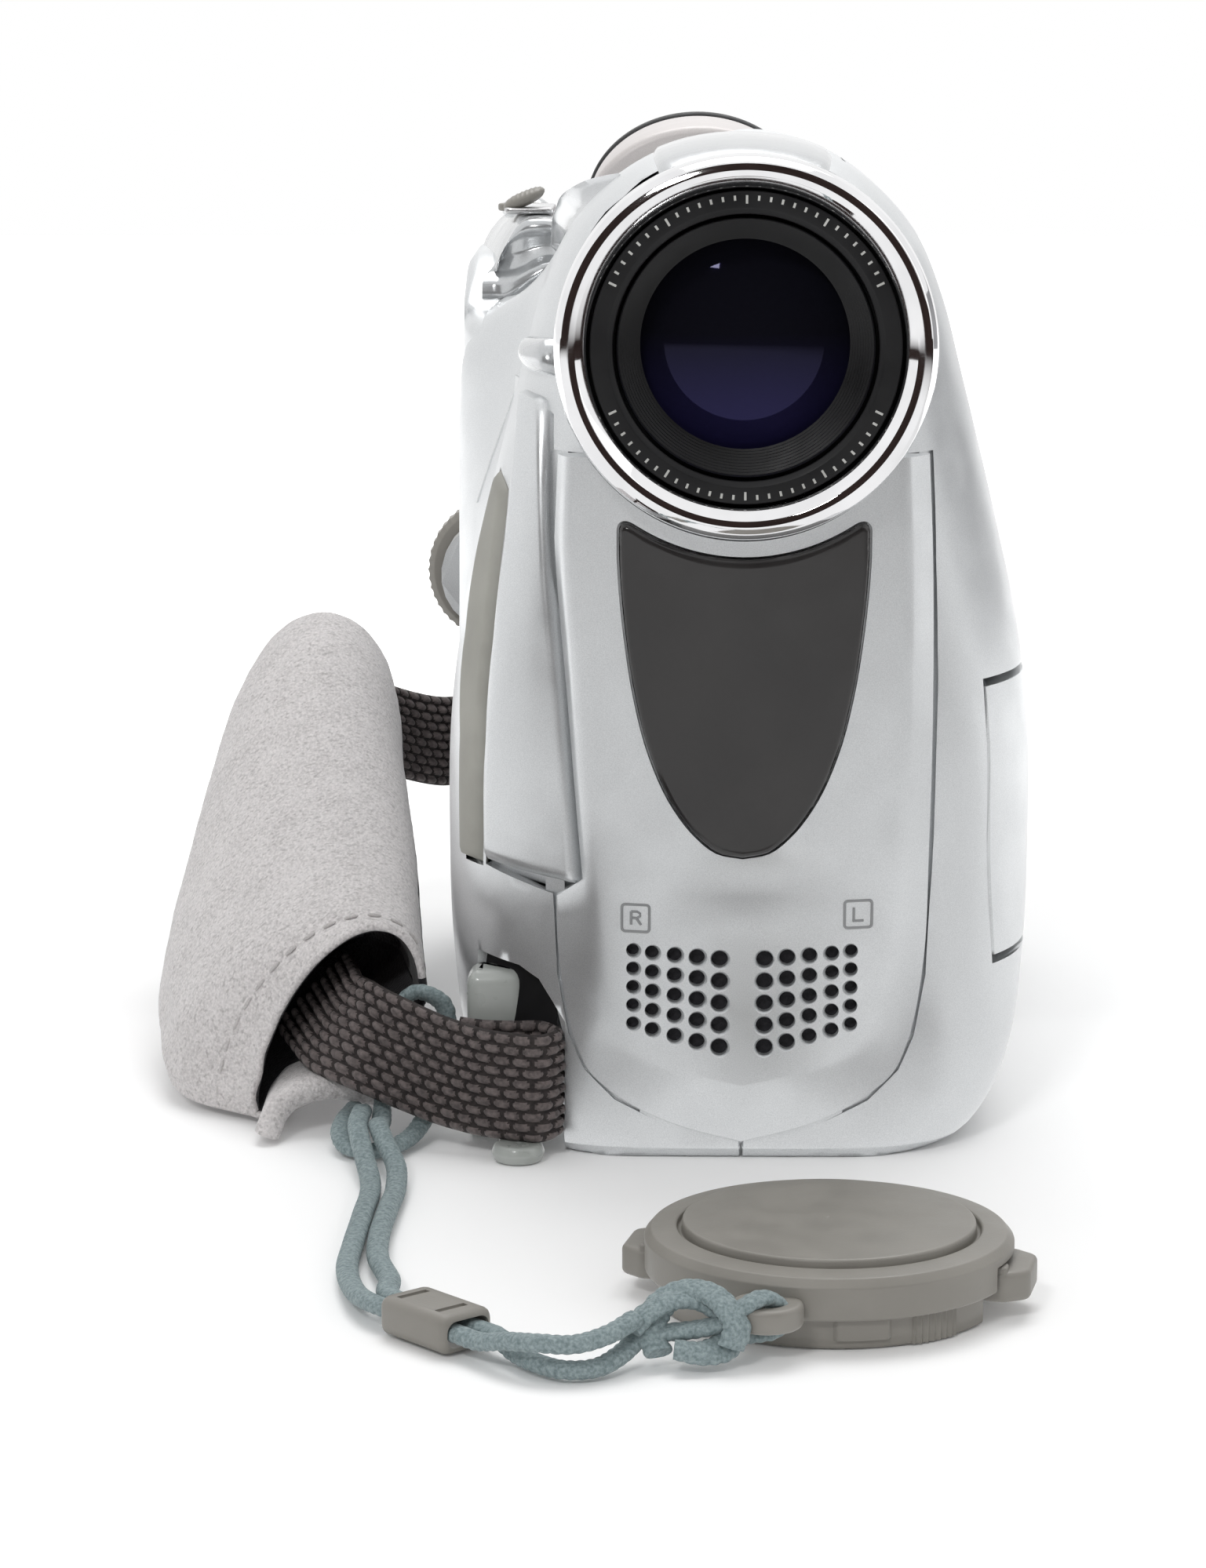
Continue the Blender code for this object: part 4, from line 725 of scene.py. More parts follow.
def on_pod(centre):
    """Whether a face of the grip-side case belongs to the zoom housing, which is made apart."""
    x, y, z = centre
    if z <= POD_FLOOR or not POD_SPAN_X[0] < x < POD_SPAN_X[1] or not POD_SPAN_Y[0] < y < POD_SPAN_Y[1]:
        return False
    spot, normal = SKIN.at(centre * MM)
    return (centre * MM - spot).dot(normal) > POD_STANDOFF * MM


SKIN = Skin()


def make_shells():
    for node, body, rim in SHELLS:
        shell = refined(node, rim, on_pod if node == "grip_side_case" else None)
        mount(shell, node, body=body)


FLAP_RIGHT = [(-18.1, 71.2), (-17.6, 56), (-16.4, 42), (-15.5, 31), (-15.0, 25.4)]
FLAP_LEFT = [(-20.9, 71.4), (-21.6, 62), (-22.9, 51), (-23.8, 41.6), (-24.2, 34), (-24.3, 26.4)]
FLAP_LEFT_STEPS, FLAP_RIGHT_STEPS = 12, 15
GRIP_RIGHT = [(-22.0, 61.5), (-23.2, 51), (-24.1, 40.6), (-24.5, 33), (-24.7, 26)]
GRIP_LEFT = [(-23.1, 63.5), (-24.9, 55.7), (-26.4, 44.4), (-26.85, 33), (-26.9, 26)]
FLAP_TILT, FLAP_GAP = 1.5, 0.15
CASE_SEAM = [
    (-22.9, -26.0, 74.6), (-23.9, -24.5, 71.2), (-25.2, -22.5, 66.6), (-26.2, -20.5, 62.2), (-27.0, -18.0, 57.5)]
SEAM_SECTION = ((-0.15, -0.1), (-0.075, 0.096), (0.0, 0.12), (0.075, 0.096), (0.15, -0.1))
TRIM_SPAN, TRIM_HALF, TRIM_COLUMNS = (-45, -22.2), 9.6, 33
LEDGE_THICKNESS, LEDGE_FLOOR = 0.4, 0.3


def pillow(name, left, right, proud, sunk, rounding, look, tilt=0.0, steps=(14, 14)):
    """A cushion-edged patch on the nose between two edge lines, from top to bottom.

    rounding gives the edge radius at the left, right, top and bottom; tilt brings the left edge further forward.
    """
    lefts, rights = spline(left, steps[0]), spline(right, steps[1])
    length = np.linalg.norm(lefts[-1] - lefts[0])
    rings = []
    for i, (a, b) in enumerate(zip(lefts, rights)):
        wide = float(np.linalg.norm(b - a))
        down = length * i / (len(lefts) - 1)
        front, back = [], []
        for t in (0.5 - 0.5 * np.cos(np.linspace(0, math.pi, 27))).tolist():
            x, z = a + (b - a) * t
            spot, normal = SKIN.at(Vector((x, nose_depth(x, z), z)) * MM)
            inside = (t * wide, (1 - t) * wide, down, length - down)
            short = math.sqrt(sum(max(0.0, 1 - d / r) ** 2 for d, r in zip(inside, rounding)))
            rise = math.sqrt(1 - min(1.0, short) ** 2)
            front.append(spot / MM + normal * (rise * (proud + sunk) - sunk) - Vector((0, tilt * (1 - t) * rise, 0)))
            back.append(spot / MM - normal * (sunk + 0.5))
        rings.append(front + back[::-1])
    return lofted(name, rings, look, sharp=50)


def ledge(name, outline, inner, outer, depth):
    """A strip under a seam: it follows an outline on the nose and closes the gap beside it."""
    line = np.array(outline, float)
    deep = depth + LEDGE_THICKNESS
    rows = []
    for far, down in ((-inner, depth), (outer, depth), (outer, deep), (-inner, deep)):
        places = [(x, max(LEDGE_FLOOR, z)) for x, z in line + sideways(line) * far]
        rows.append([(x, nose_depth(x, z) + down, z) for x, z in places])
    mount(lofted(name, rows + rows[:1], SILVER, closed=False, caps=False))


def make_case_seam():
    """A thin raised line on the skin, where the halves of the case meet."""
    spots = [SKIN.at(Vector(p) * MM) for p in resampled(spline(CASE_SEAM, 8), 0.8).tolist()]
    rows = []
    for i, (spot, normal) in enumerate(spots):
        ahead = spots[min(i + 1, len(spots) - 1)][0] - spots[max(i - 1, 0)][0]
        side = ahead.normalized().cross(normal).normalized()
        rows.append([spot / MM + side * w + normal * h for w, h in SEAM_SECTION])
    mount(lofted("case_seam", rows, SILVER, sharp=60))


def make_top_trim():
    """The glossy trim along the crown of the case, behind the lens."""
    rows = []
    for y in np.linspace(*TRIM_SPAN, 12):
        row = [SKIN.at(Vector((x, y, 95)) * MM) for x in np.linspace(-TRIM_HALF, TRIM_HALF, TRIM_COLUMNS)]
        rise = 0.32 if TRIM_SPAN[0] < y < TRIM_SPAN[1] else 0.05
        rises = [0.02] + [rise] * (TRIM_COLUMNS - 2) + [0.02]
        top = [spot / MM + normal * up for (spot, normal), up in zip(row, rises)]
        rows.append(top + [spot / MM - normal * 0.4 for spot, normal in row[::-1]])
    mount(lofted("top_trim", rows, GLOSS_SILVER, sharp=50))


def make_nose_trim():
    flap = pillow("terminal_cover_shell", FLAP_LEFT, FLAP_RIGHT, 0.8, 1.1, (0.6, 0.9, 1.2, 2.2), SILVER, FLAP_TILT,
                  (FLAP_LEFT_STEPS, FLAP_RIGHT_STEPS))
    mount(flap, "terminal_cover", body="terminal_flap")
    boss = pillow("flap_boss", [(-20.5, 75.7), (-20.5, 72.6)], [(-17.2, 76.3), (-17.2, 72.6)], 1.6, 0.4,
                  (1.0, 0.7, 1.5, 1.4), GLOSS_SILVER)
    mount(boss)
    strip = pillow("finger_grip", GRIP_LEFT, GRIP_RIGHT, 0.75, 0.5, (0.9, 0.9, 1.6, 1.2), RUBBER)
    mount(strip, "finger_grip_strip", slot="grip_rubber")
    ledge("flap_ledge", np.concatenate([spline(FLAP_LEFT, 10), spline(FLAP_RIGHT, 10)[::-1]]), 0.9, 1.3, 1.15)
    make_case_seam()
    make_top_trim()


CHIN_WIDTH, CHIN_FLOOR, CHIN_BACK = 9.5, 0.12, NOSE_TIP + 3.0
CHIN_SEAM = [(0.1, 0.35), (0.15, 0.1), (0.25, 0.0)]  # places beside the middle, and how far they lie back


def make_chin():
    """The two halves of the chin under the panel's tip, with the seam of the case between them."""
    edge = spline(PANEL_EDGE, 8)[::-1]
    columns = np.linspace(0.5, CHIN_WIDTH, 16).tolist()
    columns = CHIN_SEAM + [(x, 0.12 * smoothstep(x, 6.5, CHIN_WIDTH)) for x in columns]
    parts = []
    for way in (-1, 1):
        rings = []
        for x, back in columns:
            top = float(np.interp(x, edge[:, 0], edge[:, 1])) + 0.5
            heights = [CHIN_FLOOR + (top - CHIN_FLOOR) * share ** 1.6 for share in np.linspace(0, 1, 12).tolist()]
            front = [(way * x, nose_depth(x, z) - 0.05 + back + foot_round(z), z) for z in heights]
            rings.append([(way * x, CHIN_BACK, CHIN_FLOOR)] + front + [(way * x, CHIN_BACK, top)])
        parts.append(lofted("half", rings, SILVER, sharp=50))
    mount(joined("chin", parts))


make_shells()
make_nose_trim()


# Front panel, microphone grille and nameplate

FRONT_FACE, FRONT_BOW, FRONT_HALF = -58.5, 2.5, 15
PANEL_BACK = -52.0
# Places down the panel: half width at the crease and at the edge, height
PANEL_CREASE = [
    (14.9, 66), (15.2, 57), (15.2, 45), (14.8, 30), (13.5, 19), (12.8, 14.0), (11.8, 11.1), (8.9, 9.3), (4.2, 8.0),
    (0, 7.3)]
PANEL_EDGE = [
    (17.2, 66), (17.6, 57), (17.8, 45), (17.6, 30), (17.0, 17), (15.8, 11.4), (14.4, 8.3), (11.5, 5.9), (6.3, 3.4),
    (0, 1.7)]
PANEL_LEFT_CREASE = [(16.5, 66), (16.7, 57), (15.8, 45), (14.6, 30), (13.5, 19)] + PANEL_CREASE[5:]
PANEL_LEFT_LIMIT = 17.45
CREASE_RADIUS, RIM_LIMIT = 0.9, -53.0
HOLLOW_CENTRE, HOLLOW_DEPTH, HOLLOW_REACH = 27.0, 0.45, (6.0, 2.4)
NAMEPLATE = [
    (11.6, 60.5), (11.4, 55), (10.8, 49), (10.0, 44), (8.6, 38.6), (6.4, 33.8), (4.4, 31.2), (2.4, 29.6), (0, 29.1)]
PLATE_HALF, PLATE_ARC, PLATE_CORNER = 11.5, 19.4, 1.3
PLATE_COLUMNS = PLATE_HALF * np.sin(np.linspace(-math.pi / 2, math.pi / 2, 61))
PLATE_PROUD, PLATE_SUNK, PLATE_ROUND = 0.55, 0.12, 0.5
LENS, RING_RADIUS = (0.0, LENS_HEIGHT), 17.4
MIC_COLUMNS, MIC_BACK = (2.1, 4.2, 6.3, 8.4, 10.2), -51.0
# Radius, highest and lowest hole of the first column, and what each gains up to the last one
MIC_RADIUS, MIC_HIGH, MIC_LOW = (0.78, -0.2), (19.4, 0.6), (11.0, 2.0)
MIC_FLARE = ((1.2, -1.0), (0.28, -0.02), (0.06, 0.14), (0.0, 0.3))  # share added to the radius, depth
MARKS = (
    # name, centre, strokes
    ("mark_left", (10.81, 23.5), [[(-0.42, 0.62), (-0.42, -0.62)], [(-0.52, -0.62), (0.5, -0.62)]]),
    ("mark_right", (-9.93, 23.1), [
        [(-0.42, -0.62), (-0.42, 0.62)], [(0.05, 0.02), (0.5, -0.62)],
        [(-0.42, 0.62), (0.15, 0.62), (0.42, 0.45), (0.42, 0.2), (0.15, 0.02), (-0.42, 0.02)]]))
MARK_HEIGHT = 0.12


def front_y(x):
    """Depth of the bowed front face."""
    return FRONT_FACE + FRONT_BOW * (x / FRONT_HALF) ** 2


def panel_y(x, z):
    """Depth of the front face with the shallow hollow below the nameplate."""
    off = (x / HOLLOW_REACH[0]) ** 2 + ((z - HOLLOW_CENTRE) / HOLLOW_REACH[1]) ** 2
    return front_y(x) + HOLLOW_DEPTH * math.exp(-off)


def left_limit(z):
    """How far left the panel goes: up to the terminal cover, and further below it."""
    line = spline(FLAP_RIGHT, 10)[::-1]
    beside = -float(np.interp(z, line[:, 1], line[:, 0])) - FLAP_GAP
    return beside if z > FLAP_RIGHT[-1][1] else PANEL_LEFT_LIMIT


def panel_flank(crease, edge, way):
    """One side of a panel row, from the front face over the rounded crease and down the bevel to the back."""
    wide = min(edge[0], left_limit(edge[1])) if way < 0 else edge[0]
    corner = Vector((way * crease[0], panel_y(crease[0], crease[1]), crease[1]))
    rim = Vector((way * wide, min(nose_depth(wide, edge[1]) - 0.5, RIM_LIMIT), edge[1]))
    inner_x = way * max(0.0, crease[0] - min(CREASE_RADIUS, 0.5 * crease[0]))
    inner = Vector((inner_x, panel_y(inner_x, crease[1]), crease[1]))
    slope = rim - corner
    outer = corner + slope * min(0.45, CREASE_RADIUS / slope.length)
    turn = [(1 - t) ** 2 * inner + 2 * t * (1 - t) * corner + t * t * outer for t in np.linspace(0.0, 1.0, 6).tolist()]
    bevel = [outer.lerp(rim, t) for t in (0.35, 0.65, 0.9, 0.97)]
    back = Vector((rim.x - way * 0.05, rim.y + 0.3, rim.z))
    return turn + bevel + [back, Vector((back.x, PANEL_BACK, back.z))]


def panel_row(left_crease, crease, edge):
    left, right = panel_flank(left_crease, edge, -1), panel_flank(crease, edge, 1)
    middle = [Vector((x, panel_y(x, crease[1]), crease[1])) for x in np.linspace(left[0].x, right[0].x, 26)[1:-1]]
    return left[::-1] + middle + right


def mic_holes():
    """All the microphone holes as one cutting tool."""
    holes = []
    for i, column in enumerate(MIC_COLUMNS):
        share = i / (len(MIC_COLUMNS) - 1)
        radius, high, low = [start + gain * share for start, gain in (MIC_RADIUS, MIC_HIGH, MIC_LOW)]
        front = front_y(column)
        levels = [(radius * (1 + grow), front + depth) for grow, depth in MIC_FLARE] + [(radius, MIC_BACK)]
        for z in np.linspace(high, low, 5):
            for x in (-column, column):
                rings = [[(x + r * c, y, z + r * s) for c, s in circle(20)] for r, y in levels]
                holes.append(lofted("hole", rings, BLACK))
    return joined("holes", holes)


def plate_low(x):
    """Lower edge of the nameplate at a place across it."""
    line = spline(NAMEPLATE, 8)[::-1]
    return float(np.interp(abs(x), line[:, 0], line[:, 1]))


def plate_high(x):
    """Upper edge of the nameplate: an arc round the lens, with rounded corners."""
    over = min(PLATE_CORNER, max(0.0, abs(x) - (PLATE_HALF - PLATE_CORNER)))
    return LENS_HEIGHT - math.sqrt(PLATE_ARC ** 2 - x * x) - PLATE_CORNER + math.sqrt(PLATE_CORNER ** 2 - over ** 2)


def plate_outline(grow):
    low = [(x, plate_low(x)) for x in PLATE_COLUMNS]
    high = [(x, plate_high(x)) for x in PLATE_COLUMNS[::-1]]
    return shrunk(low + high, -grow)


def make_panel():
    """The front panel with its openings, and the cloth behind the microphone holes."""
    lines = [spline(line, 7) for line in (PANEL_LEFT_CREASE, PANEL_CREASE, PANEL_EDGE)]
    rows = [panel_row(*line) for line in zip(*lines)]
    panel = lofted("front_panel_shell", rows, SILVER, caps="first", sharp=38)
    wide, narrow = RING_RADIUS + 0.35, RING_RADIUS - 0.45
    hole = [(0, -75), (wide, -75), (wide, -55), (narrow, -55), (narrow, -40), (0, -40)]
    lens_hole = turned("lens_hole", hole, LENS, BLACK)
    well = prism("well", plate_outline(0.22), "Y", -70, -56.0, BLACK)
    cut(panel, lens_hole, well, mic_holes())
    mount(panel, "front_panel")
    columns = np.linspace(-11.6, 11.6, 25)
    rows = [[(x, front_y(x) + depth, z) for x in columns]
            for z, depth in ((9.6, 1.0), (21.0, 1.0), (21.0, 1.5), (9.6, 1.5))]
    cloth = lofted("microphone_cloth", rows + rows[:1], FELT, closed=False, caps=False)
    mount(cloth, slot="black_plastic")


def make_nameplate():
    """The bare dark plate, with a rounded edge."""
    edge = plate_outline(0.0)
    edge = resampled(np.concatenate([edge, edge[:1]]), 0.15)
    rows = []
    for share in 0.5 - 0.5 * np.cos(np.linspace(0, math.pi, 45)):
        row = []
        for x in PLATE_COLUMNS:
            z = plate_low(x) + (plate_high(x) - plate_low(x)) * share
            inside = min(1.0, float(np.min(np.linalg.norm(edge - (x, z), axis=1))) / PLATE_ROUND)
            rise = (PLATE_PROUD + PLATE_SUNK) * math.sqrt(1 - (1 - inside) ** 2)
            row.append((x, front_y(x) + PLATE_SUNK - rise, z))
        rows.append(row)
    grid = np.array(rows)
    rim = np.concatenate([grid[0], grid[1:, -1], grid[-1, -2::-1], grid[-2:0:-1, 0]])
    skirt = lofted("skirt", [rim, [(x, front_y(x) + 0.9, z) for x, _, z in rim]], NAMEPLATE_GREY, caps=False)
    plate = joined("nameplate_panel", [lofted("face", rows, NAMEPLATE_GREY, closed=False, caps=False), skirt])
    mount(plate, "nameplate", slot="nameplate_gloss")


def mark_strip(points, width):
    """A thin raised line on the front panel, coloured grey as painted shade."""
    line = np.array(points, float)
    side = sideways(line) * width / 2
    rows = [[(x, panel_y(x, z) + depth, z) for x, z in line + way * side]
            for way, depth in ((-1, 0.05), (-0.55, -MARK_HEIGHT), (0.55, -MARK_HEIGHT), (1, 0.05))]
    return lofted("line", rows, MARK_SHADE_GREY, closed=False, caps=False)


def make_marks():
    """Left and right raised marks beside the microphone holes, each in a rounded square, with painted shade for their
    colour.
    """
    for name, centre, strokes in MARKS:
        square = rounded_box_outline(centre, (1.28, 1.28), 0.35)
        parts = [mark_strip(square + square[:1], 0.3)]
        parts += [mark_strip([(centre[0] + u, centre[1] + v) for u, v in stroke], 0.28) for stroke in strokes]
        mount(joined(name, parts), slot="black_plastic")


make_panel()
make_chin()
for way, side in ((-1, "left"), (1, "right")):
    ledge("panel_ledge_" + side, [(way * x, z) for x, z in spline(PANEL_EDGE, 7)], 0.9 * way, 0.9 * way, 0.42)
make_nameplate()
make_marks()


# Lens

RING_PROFILE = [
    (RING_RADIUS, -60.2), (RING_RADIUS, -56), (16.9, -55.4), (14.9, -55.4), (14.5, -57.5), (14.45, -60.6),
    (14.6, -60.95), (15.5, -61.85), (16.1, -62), (16.75, -61.75), (17.2, -61.15)]
FRONT_RING_PROFILE = [(14.15, -60.3), (14.15, -57.6), (13.2, -57.6), (12.3, -59.2), (12.0, -59.9), (12.6, -60.3)]
RIDGES, BAFFLE_BACK, BAFFLE_RADIUS, BAFFLE_DEPTH, BAFFLE_FLARE = 9, -55.3, 9.65, 4.2, 2.0
TICK_STEP, TICK_HALF, TICK_END, TICK_DEPTHS = math.radians(4.6), math.radians(0.45), 13.75, (-60.2, -60.325)


def baffle_profile():
    """The light baffle inside the ring: a stair of fine ridges down to the glass."""
    points = [(11.7, -59.8), (11.9, -57.4), (13.6, -57.2), (13.6, -52.5), (10.6, -52.5), (10.6, -54.2), (9.6, -55.2)]
    for k in range(RIDGES):
        after = (k + 0.75) / RIDGES
        for share in (k / RIDGES, after):
            points.append((BAFFLE_RADIUS + BAFFLE_FLARE * after, BAFFLE_BACK - BAFFLE_DEPTH * share))
    return points


def make_lens():
    face = [(r, -55.9 + r * r / 41.6) for r in np.linspace(0, 10.1, 18)]
    back = [(r, -51.8 + r * r / 110) for r in np.linspace(10.1, 0, 8)]
    for name, profile, look, segments, sharp, node, slot in (
            ("lens_ring_bright", rounded_corners(RING_PROFILE, 0.5, 5), CHROME, 192, 30, "lens_ring", "chrome"),
            ("lens_front_ring_black", rounded_corners(FRONT_RING_PROFILE, 0.22, 3), BLACK, 192, 30,
             "lens_front_ring", "black_plastic"),
            ("lens_baffle_ridged", baffle_profile(), BLACK, 160, 25, "lens_baffle", "black_plastic"),
            ("front_lens_coated", face + back, GLASS, 96, 30, "front_lens", "coated_glass")):
        mount(turned(name, profile, LENS, look, segments=segments, sharp=sharp), node, slot=slot)


def make_ring_scale():
    """Plain tick marks round the black front ring, above and below."""
    parts = []
    for k in range(-14, 15):
        inner = 13.0 if k % 7 == 0 else 13.3
        corners = ((inner, -TICK_HALF), (TICK_END, -TICK_HALF), (TICK_END, TICK_HALF), (inner, TICK_HALF))
        for turn in (TICK_STEP * k + math.pi / 2, TICK_STEP * k - math.pi / 2):
            ring = [(r * math.cos(turn + s), LENS_HEIGHT + r * math.sin(turn + s)) for r, s in corners]
            parts.append(lofted("tick", [[(x, y, z) for x, z in ring] for y in TICK_DEPTHS], MARKING))
    mount(joined("ring_scale", parts), slot="grey_plastic")


make_lens()
make_ring_scale()


# Hand strap: padded sleeve, webbing and front loop

PAD_STATIONS = [
    # y, middle x, half width, tilt, middle z, crown, belly
    (-45.5, -38.65, 8.65, 5.75, 7.25, 11.4, 3.4), (-40, -42.2, 11.7, 6.0, 7.7, 11.4, 3.6),
    (-26, -44.9, 13.1, 6.2, 10.9, 11.0, 4.6), (-8, -46.2, 12.7, 5.4, 15.6, 11.6, 6.0),
    (10, -46.4, 10.9, 2.8, 21.8, 12.4, 8.0), (22, -46.3, 9.8, 1.4, 25.6, 12.9, 9.0),
    (28, -46.2, 8.9, 1.0, 27.2, 12.4, 8.4)]
PAD_POINTS, PAD_SKIN, PAD_FLOOR = 120, 0.75, 0.3
PAD_LINING = (86, 3)  # the felt covers the points after the first of these and before the second
FOLDS, FOLD_DEPTH, FOLD_TURN, SEAM_PLACE = 17, 0.3, math.pi * 0.98, -42.4
MOUTH_DEPTH = 12.0
MOUTH_ROLL = ((1.0, -0.15), (0.85, -0.4), (0.5, -0.55), (0.15, -0.4), (0.0, -0.15))  # share of the skin, shift
TAIL_ROLL = ((0.1, 0.5), (0.4, 0.9), (0.9, 1.2), (1.6, 1.3), (3.0, 1.2), (5.0, 0.9))  # inset, shift


def pad_ring(station, inset, shift=0.0):
    """The sleeve's outline at one station, moved in by inset and along by shift."""
    y, middle, half, tilt, height, crown, belly = station
    outline = [(middle + half * c, height + tilt * c + s * (crown if s > 0 else belly)) for c, s in circle(PAD_POINTS)]
    return [(x, y + shift, max(PAD_FLOOR, z)) for x, z in shrunk(outline, inset)]


def pad_folds(point, turn, y):
    """How far the suede stands off its plain form: lumps, long folds low on the outer side, the pinch of a seam."""
    lumps = 0.12 * noise.noise(point / 13) + 0.05 * noise.noise(point / 3.1) + 0.05 * noise.noise(point / 1.1)
    low_side = math.exp(-((turn - FOLD_TURN) / 0.42) ** 2) * smoothstep(-y, -12, 22)
    folds = FOLD_DEPTH * low_side * math.sin(turn * FOLDS + 1.5 * noise.noise(point / 14))
    pinch = -FOLD_DEPTH * math.exp(-((y - SEAM_PLACE) / 0.9) ** 2) * max(0.0, math.sin(turn)) ** 0.5
    return lumps + folds + pinch


def make_pad():
    """A suede sleeve with a felt lining that shows in its mouth; both ends are rolled over."""
    stations = [tuple(row) for row in spline(PAD_STATIONS, 14).tolist()]
    first, last = stations[0], stations[-1]
    inner = [row for row in stations if row[0] < first[0] + MOUTH_DEPTH]
    rings = [pad_ring(inner[-1], 7.0, 2.0)]
    rings += [pad_ring(row, PAD_SKIN + 0.1 + 1.6 * (row[0] - first[0]) / MOUTH_DEPTH) for row in inner[::-1]]
    felt_rows = len(rings)
    rings += [pad_ring(first, PAD_SKIN * share, shift) for share, shift in MOUTH_ROLL]
    rings += [pad_ring(row, 0.0) for row in stations]
    rings += [pad_ring(last, inset, shift) for inset, shift in TAIL_ROLL]
    moved = []
    for level, ring in enumerate(rings):
        centre = np.mean(ring, axis=0)
        strength = 0.35 if level < felt_rows else 1.0
        fresh = []
        for k, p in enumerate(ring):
            out = Vector(np.array(p) - centre)
            out.y = 0
            free = min(1.0, max(0.0, (p[2] - PAD_FLOOR) / 2.0))
            push = pad_folds(Vector(p), 2 * math.pi * k / PAD_POINTS, p[1]) * strength * free
            fresh.append(Vector(p) + out.normalized() * push)
        moved.append(fresh)
    pad = lofted("hand_pad_sleeve", moved, [SUEDE, FELT], sharp=180,
                 tag=lambda level, i: int(level < felt_rows or i > PAD_LINING[0] or i < PAD_LINING[1]))
    mount(pad, "hand_pad", slot="suede")


LIP = [
    (-45.0, -52.6, 0.9), (-44.5, -51.4, 2.3), (-43.2, -49.8, 3.6), (-41.2, -48.6, 4.3), (-38.8, -47.6, 4.3),
    (-36.4, -46.6, 3.8), (-34.0, -45.6, 2.9)]
LIP_HALF = 1.25
STITCH_RADII = (0.08, 0.17, 0.2, 0.2, 0.17, 0.08)


def make_lip():
    """The lower edge of the sleeve's back sheet, which curls out under the webbing."""
    line = spline(LIP, 9)
    section = [(-math.cos(turn), math.sin(turn)) for turn in np.linspace(-math.pi / 2, math.pi / 2, 9).tolist()]
    section += [(3.0, 1.0), (8.0, 1.0), (13.0, 1.0), (13.0, -1.0), (8.0, -1.0), (3.0, -1.0)]
    rings = []
    for p, along in zip(line, np.gradient(line, axis=0)):
        across = Vector((-along[2], 0, along[0])).normalized()
        points = [Vector(p) + Vector((0, u * LIP_HALF, 0)) + across * v * LIP_HALF for u, v in section]
        rings.append([q + across * 0.12 * noise.noise(q / 1.6) for q in points])
    mount(lofted("hand_pad_lip", rings, SUEDE, sharp=60), slot="suede")


def make_stitches():
    """A line of stitches round the mouth of the sleeve."""
    station = tuple(spline(PAD_STATIONS, 14)[7].tolist())
    line = resampled(np.array(pad_ring(station, 0.05))[8:64], 1.15)
    side = Vector((0, 1, 0))
    parts = []
    for a, b in zip(line[0:-1:2], line[1::2]):
        ends = [Vector(a + (b - a) * share) for share in (-0.1, 0.1, 0.35, 0.65, 0.9, 1.1)]
        lift = Vector(b - a).normalized().cross(side)
        rings = [[p + (side * c + lift * s) * radius for c, s in circle(8)] for p, radius in zip(ends, STITCH_RADII)]
        parts.append(lofted("stitch", rings, STITCH, sharp=180))
    mount(joined("pad_stitches", parts), slot="suede")


WEBBING_FRONT = [
    (-26.6, -51.4, 7.0, 0), (-24.4, -52.2, 6.9, 0), (-21.5, -52.6, 6.9, 0), (-18.9, -52.6, 6.9, 0),
    (-17.7, -54.0, 6.9, 0), (-17.6, -56.6, 6.9, 0), (-18.9, -58.2, 6.9, 0), (-22.0, -57.6, 7.0, 0),
    (-27.0, -54.9, 7.4, 6), (-32.5, -51.8, 8.8, 14), (-36.6, -49.0, 10.0, 24), (-38.9, -45.6, 10.2, 32),
    (-40.4, -40.8, 10.6, 40), (-41.6, -36.6, 11.0, 46)]
WEBBING_REAR = [
    (-39.6, 28.4, 26.8, 0), (-38.6, 31.6, 25.8, 0), (-36.8, 34.8, 24.6, 0), (-34.6, 37.4, 23.6, 0),
    (-33.0, 39.6, 23.0, 0), (-31.8, 41.6, 22.7, 0), (-30.2, 43.4, 22.6, 0)]
WEBBING_WIDTH, WEBBING_CORE, WEBBING_STEP = 10.4, 0.35, 0.19
KNOB_LENGTH, KNOB_WIDTH, KNOB_HEIGHT = 1.9, 1.04, 0.6
SHADED_GAP_HEIGHT = 0.14  # what lies lower than this between the knobs is coloured dark as painted shade
POCKET_SHADE_DEPTH = 1.3
STITCH = fibrous("stitching", (0.42, 0.40, 0.40), (0.55, 0.53, 0.52), 0.2, 0.02)
LOOP_GREY = moulded("loop_grey", (0.36, 0.38, 0.36), (0.44, 0.46, 0.44), 0.32, 0.3, 0.006, Coat_Weight=0.3,
                    Coat_Roughness=0.15)


def knob(along, across):
    """Height of the woven surface: staggered oval knobs in rows."""
    row = math.floor(across / KNOB_WIDTH)
    u = (along / KNOB_LENGTH + 0.5 * (row % 2)) % 1.0 - 0.5
    v = across / KNOB_WIDTH - row - 0.5
    return KNOB_HEIGHT * math.sqrt(max(0.0, 1 - (u / 0.45) ** 2 - (v / 0.47) ** 2))


